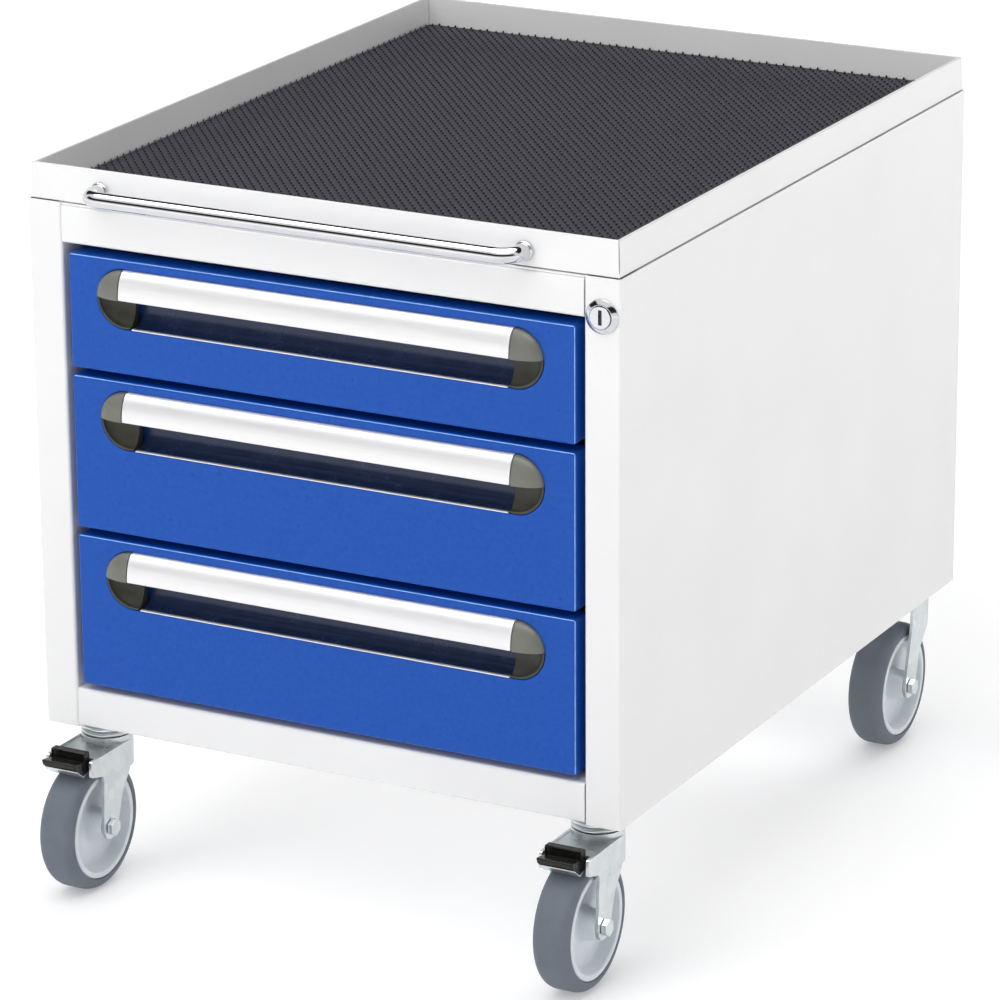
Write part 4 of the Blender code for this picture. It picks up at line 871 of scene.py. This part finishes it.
def turnLock():
    low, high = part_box("lock_housing")
    x, z = (low.x + high.x) / 2, (low.z + high.z) / 2
    face, r = low.y, lock["rose"]
    seat, lead = face + lock["thick"], lock["lead"]
    outline = [(lock["bore"], high.y), (lock["bore"], face + lead),
               (lock["bore"] + lead - 0.0002, face + 0.0001), (lock["bore"] + lead, face),
               (r - 0.0037, face), (r - 0.0033, face + 0.0001),
               (r - 0.0008, face + 0.0016), (r - 0.0002, face + 0.0021), (r, face + 0.0026),
               (r, seat), (lock["barrel"], seat), (lock["barrel"], high.y)]
    points = [(x, y, z + radius) for radius, y in outline]
    points.append(points[0])
    rose = turnedSolid("lockRose", points, (x, 0, z), (0, 1, 0), 80)
    smoothOff(rose, 28)
    fit(rose, "cabinet", "brightChrome", "chrome", "lock_housing")
    plug = soften(copyNode("lock_cylinder", "lockPlug"), 0.00045, 3)
    fit(plug, "lock_plug", "brightChrome", "chrome", "lock_cylinder")
    wide, tall = lock["keyway"]
    # a dark block in the plug's face: painted shade standing in for the keyway slot
    dark = startBlock("lockKeywayShade", (x - wide / 2, low.y + 0.0001, z - tall / 2),
                      (x + wide / 2, low.y + lock["keywayDeep"], z + tall / 2))
    ward = startBlock("ward", (x - wide, low.y - 0.002, z - 0.0008),
                      (x - 0.0002, low.y + lock["wardDeep"], z + 0.0014))
    carve(dark, ward)
    soften(dark, 0.0001, 2)
    fit(dark, "lock_plug", "keywayPaintedShade", "chrome")
    bar = soften(copyNode("locking_bar", "lockBar"), 0.0003, 2)
    fit(bar, "lock_bar", "zincPlate", "zinc", "locking_bar")


turnLock()
print("lock done")


# castors
wheel = {"radius": 0.050, "rim": 0.041, "half": 0.0145, "axle": 0.00415, "web": 0.003,
         "crown": 0.0062, "bead": 0.0006, "sides": 96}


def turnTyre(corner):
    node = corner + "_tyre"
    centre = middle(node)
    half, r, inside = wheel["half"], wheel["radius"], wheel["rim"] + 0.0003
    bead, crown = wheel["bead"], wheel["crown"]
    shoulder = inside + 0.0010                            # straight wall before the tread's curve
    outline = [(inside, -half + bead), (inside + bead, -half)]
    for step in range(11):
        turn = math.radians(90 * step / 10)
        outline.append((shoulder + (r - 0.0001 - shoulder) * math.sin(turn),
                        -crown - (half - crown) * math.cos(turn)))
    outline.append((r, 0.0))
    outline += [(radius, -along) for radius, along in reversed(outline[:-1])]
    outline.append(outline[0])
    points = [(centre.x + along, centre.y, centre.z + radius) for radius, along in outline]
    tyre = turnedSolid(corner.title().replace("_", "") + "Tyre", points, centre, (1, 0, 0),
                       wheel["sides"])
    smoothOff(tyre, 40)
    fit(tyre, corner + "_wheel", "tyreRubber", "tyre_rubber", node)


def turnCore(corner):
    node = corner + "_wheel_core"
    centre = middle(node)
    low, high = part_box(node)
    hub = (high.x - low.x) / 2
    half, rim, web = wheel["half"] - 0.0002, wheel["rim"], wheel["web"]
    outline = [(wheel["axle"], hub - 0.0004), (wheel["axle"] + 0.0004, hub), (0.0100, hub),
               (0.0106, hub - 0.0006), (0.0118, half - 0.004), (0.0122, web + 0.003),
               (0.0132, web + 0.001), (0.0150, web), (0.0325, web), (0.0340, web + 0.0008),
               (0.0350, web + 0.0030), (0.0360, half - 0.0010), (0.0367, half - 0.0001),
               (0.0376, half), (0.0402, half), (0.0408, half - 0.0005), (rim, half - 0.0012)]
    outline += [(radius, -along) for radius, along in reversed(outline)]
    outline.append(outline[0])
    points = [(centre.x + along, centre.y, centre.z + radius) for radius, along in outline]
    core = turnedSolid(corner.title().replace("_", "") + "Core", points, centre, (1, 0, 0),
                       wheel["sides"])
    smoothOff(core, 35)
    fit(core, corner + "_wheel", "wheelNylon", "wheel_nylon", node)


# brake pedal: two moulded treads on a bent metal blade, turning on a cross pin
pedal = {"round": 0.00054, "window": 0.0016, "windowDeep": 0.0012, "blade": 0.0012, "pin": 0.0022,
         "pinRise": 0.0050, "cheek": 0.0025, "sideGap": 0.003, "pinProud": 0.0027}


def mouldPedal(word):
    node = f"front_{word}_brake_pedal"
    low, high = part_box(node)
    x = (low.x + high.x) / 2
    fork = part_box(f"front_{word}_fork")
    half = (fork[1].x - fork[0].x) / 2 - pedal["cheek"] - pedal["sideGap"]
    y = high.y - pedal["pin"]
    z = low.z + pedal["pinRise"]
    name = f"front{word.capitalize()}Pedal"

    def spot(forward, rise):
        return (x - half, y - forward, z + rise)

    tread = drawnSolid(name, [spot(0.0150, -0.0042), spot(0.0170, -0.0048), spot(0.0268, 0.0026),
                              spot(0.0285, 0.0066), spot(0.0278, 0.0075), spot(0.0172, 0.0060),
                              spot(0.0150, 0.0040)], (2 * half, 0, 0))
    editOpen(tread)
    pickFaces(tread, lambda c, n: n.y < -0.4 and n.z < -0.5 and abs(n.x) < 0.1)
    bpy.ops.mesh.subdivide(number_cuts=1)
    pickFaces(tread, lambda c, n: n.y < -0.4 and n.z < -0.5 and abs(n.x) < 0.1)
    bpy.ops.mesh.inset(thickness=pedal["window"], use_individual=True)
    bpy.ops.transform.translate(value=(0, 0.6 * pedal["windowDeep"], pedal["windowDeep"]))
    editDone()
    rear = drawnSolid("rearTread", [spot(0.0150, 0.0035), spot(0.0156, 0.0118), spot(0.0148, 0.0124),
                                    spot(0.0088, 0.0124), spot(0.0080, 0.0116), spot(0.0074, 0.0030)],
                      (2 * half, 0, 0))
    editOpen(rear)
    pickFaces(rear, lambda c, n: n.y < -0.9)
    bpy.ops.mesh.inset(thickness=pedal["window"])
    bpy.ops.transform.translate(value=(0, pedal["windowDeep"], 0))
    editDone()
    for piece in (tread, rear):
        soften(piece, pedal["round"], 3, 30)
    web = drawnSolid("web", [spot(0.0152, -0.0036), spot(0.0152, 0.0042), spot(0.0076, 0.0034),
                             spot(0.0030, 0.0024), spot(0.0030, -0.0022), spot(0.0095, -0.0038)],
                     (2 * half, 0, 0))
    soften(web, 0.0004, 2, 30)
    weld(tread, rear, web)
    fit(tread, word + "_pedal", "pedalPlastic", "pedal_plastic", node)
    thick = pedal["blade"]
    blade = drawnSolid(name + "Blade", [spot(-0.0004, -0.0018), spot(0.0095, -0.0032),
                                        spot(0.0168, -0.0050), spot(0.0250, 0.0012),
                                        spot(0.0246, 0.0012 - thick), spot(0.0166, -0.0050 - thick),
                                        spot(0.0094, -0.0032 - thick),
                                        spot(-0.0004, -0.0018 - thick)],
                       (2 * half, 0, 0))
    soften(blade, 0.0003, 2, 30)
    reach = half + pedal["pinProud"]
    pin = startRod("pin", pedal["pin"], (x - reach, y, z), (x + reach, y, z), 32)
    weld(blade, soften(pin, 0.0004, 2))
    fit(blade, word + "_pedal", "zincPlate", "zinc")


# castor head: a small plate over two rounded race flanges
head = {"plateHalf": 0.0195, "plate": 0.0028, "upper": 0.0208, "lower": 0.0198, "waist": 0.0178,
        "bore": 0.0052}


def turnHead(corner):
    node = corner + "_castor_plate"
    low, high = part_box(node)
    centre = (low + high) / 2
    name = node.title().replace("_", "")
    half = head["plateHalf"]
    plate = startBlock(name, (centre.x - half, centre.y - half, high.z - head["plate"]),
                       (centre.x + half, centre.y + half, high.z))
    soften(plate, 0.0004, 2)
    rise = high.z - head["plate"] - low.z
    middleZ = low.z + rise * 0.48
    outline = [(head["bore"], high.z - 0.001), (head["waist"], high.z - 0.001)]
    for radius, top, foot in ((head["upper"], low.z + rise + 0.0002, middleZ + 0.0003),
                              (head["lower"], middleZ - 0.0003, low.z)):
        half, depth = (top - foot) / 2, (top - foot) * 0.5
        for step in range(9):
            turn = math.radians(90 - 180 * step / 8)
            outline.append((radius - depth + depth * math.cos(turn), foot + half + half * math.sin(turn)))
        outline.append((head["waist"], foot - 0.0001 if foot > low.z else foot))
    outline.append((head["bore"], low.z))
    points = [(centre.x + radius, centre.y, z) for radius, z in outline]
    points.append(points[0])
    race = turnedSolid("race", points, centre, (0, 0, 1), 64)
    smoothOff(race, 40)
    weld(plate, race)
    fit(plate, "cabinet", "zincPlate", "zinc", node)


def fitCastor(end, word):
    corner = f"{end}_{word}"
    turnTyre(corner)
    turnCore(corner)
    carrier = word + "_castor" if end == "front" else "cabinet"
    for part, finish, slot, width in (("fork", "zincPlate", "zinc", 0.0005),
                                      ("axle_bolt", "zincPlate", "zinc", 0.0006)):
        node = f"{corner}_{part}"
        piece = soften(copyNode(node, node.title().replace("_", "")), width, 2)
        fit(piece, carrier, finish, slot, node)
    if end == "front":
        turnHead(corner)
        mouldPedal(word)


for end in ("front", "rear"):
    for word in ("left", "right"):
        fitCastor(end, word)
print("castors done")


# the cabinet's own sheets keep their shape
for node in ("left_side_panel", "right_side_panel", "back_panel", "bottom_panel", "top_panel",
             "top_rail", "bottom_rail"):
    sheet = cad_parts[node]
    for place in sheet.material_slots:
        place.material = finishes["greyPaint"]
print("cabinet painted")
